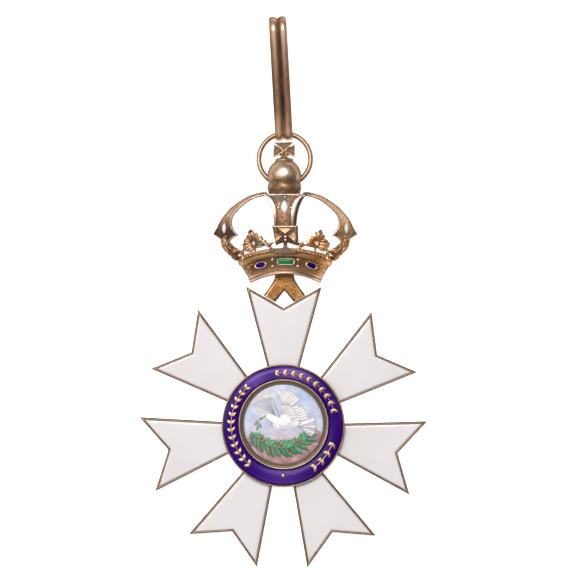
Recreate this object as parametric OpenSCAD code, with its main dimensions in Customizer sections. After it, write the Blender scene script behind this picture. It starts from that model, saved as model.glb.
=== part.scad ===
// Neck badge of an order, lying on its back: star, crown, ring and ribbon bail.
// Millimetres. The origin is the star's centre on its back face, +Y runs to the bail, +Z is the front.

/* [Star] */
// Distance from the star's centre to an arm's two points
tip_r = 30.1; // [28:0.1:32]
// Distance from the star's centre to the notch between an arm's points
notch_r = 24.6; // [23:0.1:26]
// Angle between an arm's axis and each of its straight sides
arm_half_angle = 15.1; // [13:0.1:17]
// Thickness of the gilt frame
star_t = 2.2; // [2:0.1:2.8]
// Width of the gilt rim round the enamel of an arm
rim_w = 0.3; // [0.2:0.05:0.5]
// Depth of the cells that hold the enamel
cell_depth = 1.2; // [0.8:0.1:1.4]

/* [Medallion] */
// Outside radius of the gilt medallion
medallion_r = 12.9; // [12.8:0.05:13.2]
// Inside and outside radius of the blue enamel ring
blue_in_r = 9.75; // [9.7:0.01:9.9]
blue_out_r = 12.52; // [12.4:0.01:12.6]
// Radius of the painted disc
picture_r = 8.5; // [8.3:0.05:8.55]
// Height of the picture's bezel above the medallion's seat
bezel_h = 1.55; // [1.5:0.05:1.8]

/* [Crown] */
// Half the width of the band at its top and at its bottom
band_top_w = 9.8; // [9.6:0.1:10.2]
band_bottom_w = 7.15; // [7:0.05:7.4]
// Depth of the half-round band at its top and at its bottom
band_top_d = 5.9; // [5.4:0.1:6.2]
band_bottom_d = 5.2; // [4.8:0.1:5.4]
// Height of the band at its middle
band_h = 4.25; // [4:0.05:4.5]
// Thickness of the band's wall
band_wall = 0.9; // [0.7:0.1:1.2]
// Thickness of the arches
arch_t = 0.9; // [0.8:0.1:1.2]

/* [Orb] */
// Radius of the ball
orb_r = 3.54; // [3.4:0.02:3.6]
// Height of the ball's centre above the surface that the badge lies on
orb_z = 3.62; // [3.6:0.02:4]
// Width of the cross on the ball
finial_w = 4.7; // [4.2:0.1:4.8]
// Thickness of the cross on the ball
finial_t = 0.9; // [0.7:0.1:1.2]

/* [Ring] */
// Radius of the ring, to the middle of its wire
ring_r = 5.43; // [5.4:0.01:5.5]
// Diameter of the ring's wire
ring_wire = 1.08; // [1:0.02:1.1]
// Lean of the ring, from the orb down to the bail
ring_lean = 8.2; // [8:0.1:8.4]

/* [Bail] */
// Width of the bail's strap
bail_w = 3.7; // [3.4:0.1:3.7]
// Greatest thickness of the bail's strap
bail_t = 0.5; // [0.45:0.01:0.52]
// Inside radius of the bail's bend at the ring
bail_bottom_r = 1.15; // [1.12:0.01:1.2]
// Inside radius of the bail's bend at the ribbon
bail_top_r = 2.5; // [2.4:0.05:2.7]
// Distance between the centres of the bail's two bends
bail_l = 21.5; // [20:0.1:24]
// Lean of the bail to the left
bail_lean = 3.2; // [2:0.1:4]

/* [Hidden] */
$fn = 72;

GILT = [0.72, 0.53, 0.33];
COPPER = [0.62, 0.43, 0.31];
WHITE = [0.93, 0.92, 0.91];
BLUE = [0.24, 0.04, 0.56];
GREEN = [0.03, 0.52, 0.27];
SKY = [0.78, 0.76, 0.88];

gap = 0.04;
eps = 0.01;

// Star: the axes of the arms, clockwise from the top arm, as the hand-made frame has them
arm_dirs = [0.2, 53.0, 103.5, 155.2, 205.8, 258.1, 308.5];
arm_inner_r = 9;
hub_r = 12.75;
hub_steps = 8;
enamel_dome_r = 90;
enamel_rise = 0.1;
back_panel_r = 15;
back_panel_depth = 0.25;

// Medallion: heights above its own seat
seat_z = star_t + gap;
channel_z = 0.45;
blue_edge_z = 0.85;
blue_rise = 0.42;
bezel_crest_r = 9.58;
bezel_cove_r = 8.9;
bezel_cove_depth = 0.27;
picture_seat_z = 0.7;
picture_rise = 0.5;
picture_edge_z = 1.2;

// Ornament of the blue ring: each sprig's first and last direction, clockwise from the top
sprig_r = 11.12;
sprig_stem_w = 0.16;
sprig_step = 8.2;
leaf_l = 1.0;
leaf_w = 0.4;
leaf_turn = 38;
inlay_t = 0.08;
dot_r = 0.28;

// Crown: its place in the badge, and the curves of its band in a front view
crown_x = 0.4;
crown_y = 32.14;
band_z = 0.6;
band_bottom_y = -0.25;
band_bottom_bend = 14;
band_top_bend = 23.7;
band_steps = 28;
moulding = 0.3;
shell_w = 10.9;
ledge_v = 1.18;

// Beads and lumps on the band: [x, share of its height, radius]
band_bead_rows = [
    [2.65, 0.7, 0.34], [2.6, 0.4, 0.34], [7.2, 0.7, 0.34], [7.1, 0.38, 0.3],
    [8.2, 0.76, 0.42], [7.75, 0.5, 0.42], [8.55, 0.62, 0.36]
];

// Front strip: [height, half its width, front face's z]
strip_rows = [
    [16.45, 4.35, 6.75], [15.85, 3.92, 7.0], [15.2, 3.45, 7.2], [14.0, 3.02, 7.45],
    [12.75, 2.68, 7.6], [11.5, 2.5, 7.65], [10.1, 2.38, 7.6], [9.3, 2.36, 7.5]
];
strip_bead_places = [[-1.45, 13.5, 7.3], [1.25, 13.6, 7.3], [-0.1, 11.15, 7.42], [-0.1, 15.75, 6.8]];
strip_border = 0.62;
strip_edge = 0.25;
strip_depth = 1.7;
strip_flank = 0.6;

// Side arch: [outer edge x, y, z, inner edge x, y, z]
arch_rows = [
    [3.75, 16.75, 5.0, 3.6, 16.1, 5.9], [4.9, 16.85, 4.5, 4.6, 16.2, 5.7],
    [7.4, 16.2, 3.5, 6.9, 15.5, 5.5], [9.5, 15.05, 2.7, 8.7, 14.35, 5.2],
    [11.3, 13.75, 2.0, 10.05, 13.05, 5.0], [12.46, 12.5, 1.6, 10.85, 12.0, 4.8],
    [13.4, 11.35, 1.3, 11.15, 10.9, 4.7], [14.0, 10.3, 1.1, 11.1, 9.85, 4.6],
    [14.46, 9.25, 1.0, 10.7, 8.9, 4.6]
];
spike_rows = [
    [14.46, 9.25, 1.0, 10.7, 8.9, 4.6], [15.13, 8.2, 0.7, 9.9, 7.95, 4.6],
    [13.9, 7.15, 1.2, 11.2, 7.05, 4.0], [13.35, 6.5, 1.4, 11.7, 6.4, 3.5],
    [13.3, 5.6, 1.6, 11.5, 5.7, 3.2]
];
arch_border = 0.14;
arch_recess = 0.16;

// Beads of a side arch and of a side cross: [x, y, z, radius]
arch_bead_rows = [[11.9, 11.95, 3.0, 0.32], [12.55, 7.6, 2.55, 0.42]];
side_cross_bead_rows = [
    [9.95, 4.5, 3.5, 0.42], [9.05, 4.6, 3.9, 0.36], [12.9, 5.6, 3.5, 0.4], [11.5, 4.7, 3.7, 0.4]
];

// Top plate: [half its width, lowest y, height, lowest z, depth] of its upper and its lower part
plate_rows = [[4.2, 16.0, 0.45, 1.2, 5.4], [3.1, 15.25, 0.3, 1.8, 4.5]];

// Leaf ornament: [direction clockwise from up, length, widest radius, tip radius]
leaf_rows = [
    [-22, 3.1, 0.6, 0.24], [14, 2.3, 0.44, 0.16], [-50, 2.3, 0.46, 0.16], [-77, 2.5, 0.48, 0.2],
    [-97, 2.85, 0.42, 0.2], [-124, 2.2, 0.6, 0.45], [52, 2.45, 0.6, 0.4], [77, 2.9, 0.42, 0.22],
    [102, 2.35, 0.56, 0.36]
];
leaf_x = 6.53;
leaf_y = 6.05;

// Rail over the band: [x, y, radius], and the posts that carry it: [x, half the width]
rail_rows = [
    [2.6, 5.7, 0.34], [3.1, 5.35, 0.42], [4.3, 5.85, 0.36], [5.94, 5.5, 0.36], [7.2, 5.42, 0.38],
    [8.4, 4.9, 0.36], [9.0, 4.35, 0.36], [9.9, 4.05, 0.4], [10.6, 3.5, 0.6]
];
post_rows = [[3.1, 0.36], [6.0, 0.3], [8.75, 0.28]];
rail_in = 0.25;
post_h = 1.7;

// Lumps of a side cross: [x, y, z, radius], each joined to the next
side_cross_rows = [
    [12.6, 6.3, 2.5, 1.0], [12.6, 5.4, 2.3, 1.3], [11.8, 4.6, 2.4, 1.35], [11.1, 3.7, 2.4, 1.1],
    [10.7, 2.9, 2.0, 0.85]
];

// Centre cross: front view of its right and left halves, the middle of its four arms, and its depth
cross_right = [
    [1.9, 4.0], [1.7, 4.9], [0.95, 5.1], [0.55, 5.7], [0.75, 6.35], [2.3, 5.65], [2.2, 9.75]
];
cross_left = [
    [-2.75, 9.75], [-1.95, 5.6], [-0.6, 6.35], [-0.4, 5.7], [-0.85, 5.1], [-1.5, 4.9], [-1.7, 4.0]
];
cross_mid = [-0.1, 7.6];
cross_z = 7.75;
cross_t = 1.6;
cross_flank = 0.5;
cross_groove = 0.55;
cross_groove_ends = [[2.25, 9.5], [-2.7, 9.5], [2.4, 5.9], [-2.2, 5.9]];
cross_bead_rows = [[0.05, 7.5, 7.8, 0.38], [0.05, 6.8, 7.8, 0.36]];
cross_bar = [-2.85, 9.35, 5.15, 0.5];

// Stones on the band: [x, half length, half height, turn in its own plane]
band_stone_v = 0.56;
green_x = 0.15;
green_size = [3.3, 1.1];
blue_x = [-5.05, 5.4];
blue_size = [2.35, 1.1];
blue_turn = [11, -17];
setting_w = 0.28;
setting_h = 0.38;
stone_base = 0.2;
stone_rise = 0.42;

// White stones: [length, width, height], and where the front and the side ones stand on the arches
pearl_front_size = [2.9, 1.5, 0.5];
pearl_front_at = [-0.15, 13.72, 7.3];
pearl_front_tilt = -8.5;
pearl_side_size = [2.3, 1.1, 0.5];
pearl_side_at = [12.75, 9.3, 2.72];
pearl_side_turn = [43, 4];

// Link: outline of its right half, from the block down to the leg's foot
link_z = [0.35, 1.95];
link_bevel = 0.3;
link_x = 0.25;
link_top = crown_y - gap;
link_block_w = 2.0;
link_block_y = 30.75;
link_crotch_y = 29.0;
leg_outer = 4.4;
leg_inner = 1.95;

// Orb: where it stands, and its collar's outline
orb_x = 0.21;
orb_y = 52.48;
collar_y0 = 48.63;
boss_r = 2.6;
collar_r = 3.3;
collar_bulge = 1.5;
cap_r = 1.8;
cap_y = 2.85;
boss_top = 48.89;
tunnel_play = 0.12;

// Ring and bail
ring_x = 0.3;
ring_y = 55.98;
ring_z = 2.38;
bail_x = 0.1;
bail_y = 61.5;
rib_w = 1.6;
rib_base = 0.16;
rib_steps = 6;
bottom_steps = 12;
top_steps = 18;
floor_play = 0.02;

function lerp(a, b, t) = a + (b - a) * t;
function unit(v) = v / norm(v);

// A smooth row between rows b and c of a table
function between(a, b, c, d, t) =
    0.5 * (2 * b + (c - a) * t + (2 * a - 5 * b + 4 * c - d) * t * t + (3 * b - a - 3 * c + d) * t * t * t);
function smooth_rows(rows, n) = [
    for (i = [0:len(rows) - 2], k = [0:n - 1])
        between(rows[max(i - 1, 0)], rows[i], rows[i + 1], rows[min(i + 2, len(rows) - 1)], k / n),
    rows[len(rows) - 1]
];

// A solid through a list of closed sections with the same number of points, also round a loop
module skin(sections, loop = false) {
    n = len(sections[0]);
    m = len(sections);
    ends = loop ? [] : [[for (i = [0:n - 1]) i], [for (i = [0:n - 1]) m * n - 1 - i]];
    sides = [
        for (j = [0:m - (loop ? 1 : 2)], i = [0:n - 1])
            let (a = j * n, b = (j + 1) % m * n, k = (i + 1) % n)
            each [[a + i, b + i, a + k], [a + k, b + i, b + k]]
    ];
    polyhedron(points = [for (s = sections) each s], faces = concat(ends, sides));
}

// Star

// An arm's outline, moved inwards by w: inner end, point, notch, point, inner end
function arm_outline(w) = let (
    side = [sin(arm_half_angle), cos(arm_half_angle)],
    u = unit(tip_r * side - [0, notch_r]),
    y = (u.x * notch_r - w - u.y * w / side.y) / (u.x - u.y * side.x / side.y),
    x = (y * side.x - w) / side.y,
    yi = arm_inner_r * side.y,
    xi = (yi * side.x - w) / side.y
) [[-xi, yi], [-x, y], [0, notch_r - w / u.x], [x, y], [xi, yi]];

module arm_shape(w) {
    polygon(arm_outline(w));
}

module each_arm() {
    for (d = arm_dirs) rotate(-d) children();
}

// An arm's outline beyond a circle round the centre
module arm_beyond(w, r) {
    difference() {
        arm_shape(w);
        circle(r = r, $fn = 144);
    }
}

// The frame's outline: each arm's point, notch and point, then the hub's edge up to the next arm
function polar(r, d) = r * [sin(d), cos(d)];
star_outline = [
    for (i = [0:6]) let (
        a = arm_dirs[i],
        b = i < 6 ? arm_dirs[i + 1] : arm_dirs[0] + 360,
        h = arm_half_angle
    ) each concat(
        [polar(tip_r, a - h), polar(notch_r, a), polar(tip_r, a + h)],
        [for (k = [0:hub_steps]) polar(hub_r, lerp(a + h, b - h, k / hub_steps))]
    )
];

module star_frame() {
    color(GILT) difference() {
        linear_extrude(star_t) polygon(star_outline);
        translate([0, 0, star_t - cell_depth]) each_arm() linear_extrude(cell_depth + 1)
            arm_beyond(rim_w, medallion_r);
        translate([0, 0, -1]) each_arm() linear_extrude(1 + back_panel_depth)
            arm_beyond(2.5 * rim_w, back_panel_r);
    }
}

module enamel_arm(i) {
    color(WHITE) rotate(-arm_dirs[i]) intersection() {
        translate([0, 0, star_t - cell_depth + gap])
            linear_extrude(cell_depth + 1) arm_beyond(rim_w + gap, medallion_r + gap);
        translate([0, 0, star_t + enamel_rise - enamel_dome_r]) rotate([-90, 0, 0])
            cylinder(r = enamel_dome_r, h = 2 * tip_r, $fn = 256);
    }
}

// Medallion

module medallion_frame() {
    color(GILT) translate([0, 0, seat_z]) rotate_extrude() polygon([
        [0, 0], [medallion_r, 0], [medallion_r, 0.75], [medallion_r - 0.12, 0.98],
        [blue_out_r + gap, 0.98], [blue_out_r + gap, channel_z], [blue_in_r - gap, channel_z],
        [blue_in_r - gap, bezel_h - 0.12], [bezel_crest_r, bezel_h],
        [bezel_crest_r - 0.16, bezel_h - 0.09], [bezel_cove_r, bezel_h - bezel_cove_depth],
        [bezel_cove_r - 0.14, bezel_h - bezel_cove_depth + 0.07],
        [picture_r + 0.1, bezel_h - bezel_cove_depth], [picture_r + gap, picture_seat_z],
        [0, picture_seat_z]
    ]);
}

// Half section of the blue ring's domed top, raised by lift
module blue_section(lift) {
    mid = (blue_in_r + blue_out_r) / 2;
    half = (blue_out_r - blue_in_r) / 2;
    bend = (half * half + blue_rise * blue_rise) / (2 * blue_rise);
    intersection() {
        translate([blue_in_r, channel_z + gap]) square([2 * half, 3]);
        translate([mid, blue_edge_z + blue_rise - bend]) circle(r = bend + lift, $fn = 144);
    }
}

module blue_enamel() {
    color(BLUE) translate([0, 0, seat_z]) rotate_extrude() blue_section(0);
}

module leaf_shape() {
    bend = (leaf_l * leaf_l + leaf_w * leaf_w) / (4 * leaf_w);
    intersection() {
        translate([bend - leaf_w / 2, leaf_l / 2]) circle(r = bend);
        translate([leaf_w / 2 - bend, leaf_l / 2]) circle(r = bend);
    }
}

// A sheet that lies on the blue ring's domed top, cut to its children's outline
module inlay() {
    color(GILT) translate([0, 0, seat_z]) intersection() {
        translate([0, 0, channel_z + 2 * gap]) linear_extrude(3) children();
        rotate_extrude() difference() {
            blue_section(inlay_t);
            translate([0, -eps]) blue_section(gap / 2);
        }
    }
}

module sprig_shape(first, last) {
    n = round((last - first) / sprig_step);
    step = (last - first) / n;
    intersection() {
        difference() {
            circle(r = sprig_r + sprig_stem_w / 2, $fn = 144);
            circle(r = sprig_r - sprig_stem_w / 2, $fn = 144);
        }
        polygon([[0, 0], for (k = [0:n]) 20 * [sin(first + k * step), cos(first + k * step)]]);
    }
    for (k = [0:n - 1], s = [-1, 1])
        rotate(-(first + k * step)) translate([0, sprig_r]) rotate(-90 + s * leaf_turn) leaf_shape();
}

module sprig_left() { inlay() sprig_shape(-140, -46); }
module sprig_top() { inlay() sprig_shape(-9, 72); }
module sprig_right() { inlay() sprig_shape(110, 142); }
module ring_dot() { inlay() translate([0, -sprig_r]) circle(r = dot_r); }

module picture() {
    bend = (picture_r * picture_r + picture_rise * picture_rise) / (2 * picture_rise);
    color(SKY) translate([0, 0, seat_z]) intersection() {
        translate([0, 0, picture_seat_z + gap]) cylinder(r = picture_r, h = 2);
        translate([0, 0, picture_edge_z + picture_rise - bend]) sphere(r = bend, $fn = 256);
    }
}

// Link

// Height of the top arm's notch edge at a distance from the link's middle
function notch_y(x) =
    let (tip = tip_r * [sin(arm_half_angle), cos(arm_half_angle)])
    notch_r + (tip.y - notch_r) * abs(x) / tip.x;

module link_block(inset, z, h) {
    translate([-link_block_w + inset, link_block_y - 2, z])
        cube([2 * (link_block_w - inset), link_top - link_block_y + 2 - inset, h]);
}

module bevelled_leg() {
    skin([
        [for (p = leg_outline(0)) [p.x, p.y, link_z[0]]],
        [for (p = leg_outline(0)) [p.x, p.y, link_z[1] - link_bevel]],
        [for (p = leg_outline(link_bevel)) [p.x, p.y, link_z[1]]]
    ]);
}

function leg_outline(inset) = [
    [-0.4, link_crotch_y + inset - 0.1],
    [leg_inner + inset, notch_y(leg_inner + inset + link_x) + 3 * gap],
    [leg_outer - inset, notch_y(leg_outer - inset + link_x) + 3 * gap],
    [link_block_w + 0.75 - inset, link_block_y - 1.1], [link_block_w - inset, link_block_y + 0.4],
    [-0.4, link_block_y + 0.4]
];

module link() {
    color(GILT) translate([link_x, 0, 0]) {
        bevelled_leg();
        mirror([1, 0, 0]) bevelled_leg();
        hull() {
            link_block(0, link_z[0], link_z[1] - link_z[0] - link_bevel);
            link_block(link_bevel, link_z[1] - eps, eps);
        }
    }
}

// Crown: built about the middle of its band's lower edge

// A point of the band: direction from the front, share of its height, and distance out from its face
function band_point(phi, v, out) = let (
    x = (lerp(band_bottom_w, band_top_w, v) + out) * sin(phi)
) [
    x,
    lerp(band_bottom_y - x * x / (2 * band_bottom_bend), band_h - x * x / (2 * band_top_bend), v),
    band_z + (lerp(band_bottom_d, band_top_d, v) + out) * cos(phi)
];

// Direction at which the band reaches a given x, and the way that it faces there
function band_phi(x, v) = asin(x / lerp(band_bottom_w, band_top_w, v));
function band_turn(x, v) = let (
    w = lerp(band_bottom_w, band_top_w, v),
    d = lerp(band_bottom_d, band_top_d, v),
    phi = band_phi(x, v)
) atan2(sin(phi) / w, cos(phi) / d);

// The band's section: [share of its height, distance out from its face]
band_section = [
    [0, -band_wall], [0, 0.1], [0.01, moulding], [0.05, moulding + 0.12], [0.1, moulding],
    [0.125, moulding - 0.2], [0.15, moulding - 0.05], [0.2, moulding + 0.08], [0.25, moulding],
    [0.27, 0], [0.83, 0], [0.85, moulding], [0.92, moulding + 0.14], [0.99, moulding],
    [1.01, 0.05], [ledge_v, 0], [ledge_v, -band_wall]
];

module band() {
    skin([
        for (k = [0:band_steps]) let (phi = lerp(90, -90, k / band_steps))
            [for (p = band_section) band_point(phi, p[0], p[1])]
    ]);
    translate([-band_bottom_w - 0.6, 0, 0.2]) cube([2 * band_bottom_w + 1.2, 1.9, 1.1]);
}

module on_band(x, v, turn = 0) {
    translate(band_point(band_phi(x, v), v, 0)) rotate([0, band_turn(x, v), 0]) rotate([0, 0, turn])
        children();
}

module bead(r) {
    sphere(r = r, $fn = 10);
}

module bead_row(rows) {
    for (row = rows) translate([for (c = [0:2]) row[c]]) bead(row[3]);
}

module band_beads() {
    for (s = [-1, 1], row = band_bead_rows) on_band(s * row[0], row[1]) bead(row[2]);
}

// A long stone with round ends, and an oval one
module long_shape(size) {
    square([size.x - size.y, size.y], center = true);
    for (s = [-1, 1]) translate([s * (size.x - size.y) / 2, 0]) circle(d = size.y, $fn = 24);
}

module oval_shape(size) {
    scale([1, size.y / size.x]) circle(d = size.x, $fn = 24);
}

module settings() {
    on_band(green_x, band_stone_v) difference() {
        translate([0, 0, -0.2]) linear_extrude(setting_h + 0.2)
            long_shape(green_size + 2 * setting_w * [1, 1]);
        translate([0, 0, 0.1]) linear_extrude(1) long_shape(green_size);
    }
    for (i = [0, 1]) on_band(blue_x[i], band_stone_v, blue_turn[i]) difference() {
        translate([0, 0, -0.3]) linear_extrude(setting_h + 0.3)
            oval_shape(blue_size + 2 * setting_w * [1, 1]);
        translate([0, 0, 0.1]) linear_extrude(1) oval_shape(blue_size);
    }
}

// Front strip, with raised borders and a flank that shows on its right
function strip_section(row) = let (y = row[0], w = row[1], z = row[2], r = row[1] - strip_flank) [
    [w, y, z - strip_depth], [r, y, z - strip_edge], [r - 0.2, y, z],
    [r - strip_border, y, z - 0.05], [r - strip_border - 0.12, y, z - strip_edge],
    [-w + strip_border + 0.12, y, z - strip_edge], [-w + strip_border, y, z - 0.05],
    [-w + 0.2, y, z], [-w, y, z - strip_edge], [-w, y, z - strip_depth]
];

module front_strip() {
    skin([for (row = smooth_rows(strip_rows, 3)) strip_section(row)]);
    for (p = strip_bead_places) translate(p) bead(0.32);
}

// The top plate that the arches meet in, under the orb's collar
module top_plate() {
    hull() for (p = plate_rows) translate([-p[0], p[1], p[3]]) cube([2 * p[0], p[2], p[4]]);
    translate([orb_x - crown_x, plate_rows[0][1], orb_z]) rotate([-90, 0, 0])
        cylinder(r = boss_r, h = boss_top - crown_y - plate_rows[0][1], $fn = 24);
}

// A side arch's section across its face, with raised borders
function arch_outer(row) = [row[0], row[1], row[2]];
function arch_inner(row) = [row[3], row[4], row[5]];
function arch_middle(row) = (arch_outer(row) + arch_inner(row)) / 2;
function arch_section(rows, i) = let (
    o = arch_outer(rows[i]),
    q = arch_inner(rows[i]),
    along = unit(arch_middle(rows[min(i + 1, len(rows) - 1)]) - arch_middle(rows[max(i - 1, 0)])),
    u = unit(q - o),
    n = unit(cross(u, along)),
    back = unit([0.35 * n.x, 0.35 * n.y, n.z]),
    b = arch_border * norm(q - o)
) [
    o - arch_t * back, o - 0.2 * n, o + 0.15 * u, o + b * u, o + (b + 0.1) * u - arch_recess * n,
    q - (b + 0.1) * u - arch_recess * n, q - b * u, q - 0.15 * u, q - 0.2 * back, q - arch_t * back
];

module arch_face(rows, steps) {
    fine = smooth_rows(rows, steps);
    skin([for (i = [0:len(fine) - 1]) arch_section(fine, i)]);
}

module side_arch() {
    arch_face(arch_rows, 3);
    arch_face(spike_rows, 3);
    bead_row(arch_bead_rows);
}

module side_cross() {
    for (k = [0:len(side_cross_rows) - 2]) hull() {
        translate([for (c = [0:2]) side_cross_rows[k][c]])
            sphere(r = side_cross_rows[k][3], $fn = 8);
        translate([for (c = [0:2]) side_cross_rows[k + 1][c]])
            sphere(r = side_cross_rows[k + 1][3], $fn = 8);
    }
    bead_row(side_cross_bead_rows);
}

// Centre cross: arms parted by four grooves, on a foot that stands on the band
module centre_cross() {
    outline = concat(cross_right, cross_left);
    difference() {
        skin([
            [for (p = outline) [p.x + (p.x > 1.95 ? cross_flank : 0), p.y, cross_z - cross_t]],
            [for (p = outline) [p.x, p.y, cross_z]]
        ]);
        for (a = cross_groove_ends)
            translate([cross_mid.x, cross_mid.y, cross_z])
                rotate([0, 0, atan2(a.y - cross_mid.y, a.x - cross_mid.x)]) rotate([45, 0, 0])
                    translate([0, -cross_groove / 2, -cross_groove / 2])
                        cube([norm(a - cross_mid), cross_groove, cross_groove]);
    }
    translate([cross_bar[0], cross_bar[1], cross_z - cross_t])
        cube([cross_bar[2], cross_bar[3], cross_t + 0.2]);
    bead_row(cross_bead_rows);
}

// The surface that the ornaments over the band stand on
function shell_z(x) = band_z + band_top_d * sqrt(1 - pow(x / shell_w, 2));
function shell_turn(x) = atan2(x / pow(shell_w, 2), (shell_z(x) - band_z) / pow(band_top_d, 2));

module leaf_ornament() {
    translate([leaf_x, leaf_y, shell_z(leaf_x) - 0.2]) rotate([0, shell_turn(leaf_x), 0]) {
        mirror([1, 0, 0]) for (l = leaf_rows) rotate([0, 0, -l[0]]) hull() {
            translate([0, 0.3, 0]) sphere(r = 0.42, $fn = 8);
            translate([0, 0.6 * l[1], 0.12]) sphere(r = l[2], $fn = 8);
            translate([0, l[1] - l[3], -0.1]) sphere(r = l[3], $fn = 8);
        }
        translate([0, 0, -0.5]) cylinder(r1 = 0.72, r2 = 0.6, h = 0.78, $fn = 10);
        translate([0, 0, 0.5]) bead(0.42);
    }
}

function rail_point(row) = [row[0], row[1], shell_z(row[0]) - rail_in];

module rail() {
    for (k = [0:len(rail_rows) - 2]) hull() {
        translate(rail_point(rail_rows[k])) sphere(r = rail_rows[k][2], $fn = 8);
        translate(rail_point(rail_rows[k + 1])) sphere(r = rail_rows[k + 1][2], $fn = 8);
    }
    translate([3.15, 5.85, shell_z(3.15) + 0.1]) bead(0.48);
    for (p = post_rows) {
        base = band_h - p[0] * p[0] / (2 * band_top_bend);
        translate([p[0] - p[1], base, shell_z(p[0]) - 0.85]) cube([2 * p[1], post_h, 0.75]);
    }
}

module crown() {
    color(COPPER) translate([crown_x, crown_y, 0]) {
        difference() {
            union() {
                band();
                band_beads();
                settings();
                front_strip();
                top_plate();
                centre_cross();
                for (s = [0, 1]) mirror([s, 0, 0]) {
                    side_arch();
                    side_cross();
                    leaf_ornament();
                    rail();
                }
            }
            translate([0, 0, -5 + 0.05]) cube([40, 60, 10], center = true);
        }
    }
}

// Stones

module domed(h, bend) {
    intersection() {
        translate([0, 0, stone_base]) linear_extrude(h + 1) children();
        translate([0, 0, h - bend]) sphere(r = bend, $fn = 256);
    }
}

module green_stone() {
    color(GREEN) translate([crown_x, crown_y, 0]) on_band(green_x, band_stone_v)
        domed(stone_rise, 8) long_shape(green_size - 2 * gap * [1, 1]);
}

module blue_stone(i) {
    color(BLUE) translate([crown_x, crown_y, 0]) on_band(blue_x[i], band_stone_v, blue_turn[i])
        domed(stone_rise, 5) oval_shape(blue_size - 3 * gap * [1, 1]);
}

module marquise(size) {
    bend = (size.x * size.x + size.y * size.y) / (4 * size.y);
    color(WHITE) intersection() {
        linear_extrude(size.z) intersection() {
            translate([bend - size.y / 2, 0]) circle(r = bend);
            translate([size.y / 2 - bend, 0]) circle(r = bend);
        }
        translate([0, 0, size.z - 3]) sphere(r = 3);
    }
}

module pearl_front() {
    translate([crown_x, crown_y, 0]) translate(pearl_front_at) rotate([pearl_front_tilt, 0, 0])
        marquise(pearl_front_size);
}

module pearl_side(s) {
    translate([crown_x + s * pearl_side_at.x, crown_y + pearl_side_at.y, pearl_side_at.z])
        rotate([0, s * pearl_side_turn[0], 0]) rotate([0, 0, s * pearl_side_turn[1]])
            marquise(pearl_side_size);
}

// Orb

module finial_shape() {
    half = finial_w / 2;
    for (s = [-1, 1]) mirror([s > 0 ? 1 : 0, 0])
        polygon([[0.15, -0.28], [half, -1.48], [half - 0.12, 1.38], [0.15, 0.25]]);
    polygon([[-half + 0.15, 1.75], [half - 0.35, 1.85], [0.32, 0.1], [-0.32, 0.1]]);
    polygon([[-0.38, 0.3], [0.38, 0.3], [0.42, -0.6], [1.15, -1.85], [-1.15, -1.85], [-0.42, -0.6]]);
}

module ring_wire_solid(d) {
    translate([ring_x, ring_y, ring_z]) rotate([-ring_lean, 0, 0])
        rotate_extrude() translate([ring_r, 0]) circle(d = d, $fn = 48);
}

module orb() {
    color(COPPER) difference() {
        translate([orb_x, orb_y, orb_z]) {
            rotate([-90, 0, 0]) rotate(90) rotate_extrude() difference() {
                union() {
                    circle(r = orb_r);
                    translate([0, collar_y0 - orb_y]) square([collar_r, -collar_y0 + orb_y - 1]);
                    translate([collar_r - collar_bulge + 0.25, -2.3]) circle(r = collar_bulge);
                    translate([0, cap_y]) square([cap_r, 0.75]);
                }
                translate([-5, -8]) square([5, 16]);
                translate([0, -8]) square([boss_r + gap, boss_top + gap - orb_y + 8]);
            }
            translate([0, 5.2, -finial_t / 2]) linear_extrude(finial_t) finial_shape();
        }
        ring_wire_solid(ring_wire + 2 * tunnel_play);
    }
}

// Ring and bail

module ring() {
    color(GILT) ring_wire_solid(ring_wire);
}

// The strap's section: two round ribs and a thin line in the groove, as [out from its inner face, across]
function rib_points(s) = let (
    rise = bail_t - rib_base,
    bend = (rib_w * rib_w / 4 + rise * rise) / (2 * rise),
    half = asin(rib_w / 2 / bend)
) [
    for (k = [0:rib_steps]) let (a = lerp(half, -half, k / rib_steps))
        [bail_t - bend + bend * cos(a), s * (bail_w - rib_w) / 2 + bend * sin(a)]
];
strap_section = concat(
    [[0, -bail_w / 2], [0, bail_w / 2]], rib_points(1),
    [[rib_base, 0.1], [rib_base + 0.12, 0], [rib_base, -0.1]], rib_points(-1)
);

// Sections round one bend, between two directions
function bend_sections(y, r, from, to, steps) = [
    for (k = [0:steps]) let (a = lerp(from, to, k / steps))
        [for (p = strap_section) [p[1], y + (r + p[0]) * cos(a), (r + p[0]) * sin(a)]]
];

module bail() {
    taper = asin((bail_top_r - bail_bottom_r) / bail_l);
    color(GILT) translate([bail_x, bail_y, bail_bottom_r + bail_t + floor_play])
        rotate([0, 0, bail_lean]) rotate([taper, 0, 0]) skin(concat(
            bend_sections(0, bail_bottom_r, 90 + taper, 270 - taper, bottom_steps),
            bend_sections(bail_l, bail_top_r, -90 - taper, 90 + taper, top_steps)
        ), loop = true);
}

star_frame();
enamel_arm(0);  // enamel_arm_1
enamel_arm(1);  // enamel_arm_2
enamel_arm(2);  // enamel_arm_3
enamel_arm(3);  // enamel_arm_4
enamel_arm(4);  // enamel_arm_5
enamel_arm(5);  // enamel_arm_6
enamel_arm(6);  // enamel_arm_7
medallion_frame();
blue_enamel();
sprig_left();
sprig_top();
sprig_right();
ring_dot();
picture();
link();
crown();
green_stone();
blue_stone(0);  // blue_stone_left
blue_stone(1);  // blue_stone_right
pearl_front();
pearl_side(-1);  // pearl_left
pearl_side(1);  // pearl_right
orb();
ring();
bail();
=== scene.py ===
import math

import bmesh
import bpy
import numpy as np
from mathutils import Matrix, Vector, noise


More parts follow.
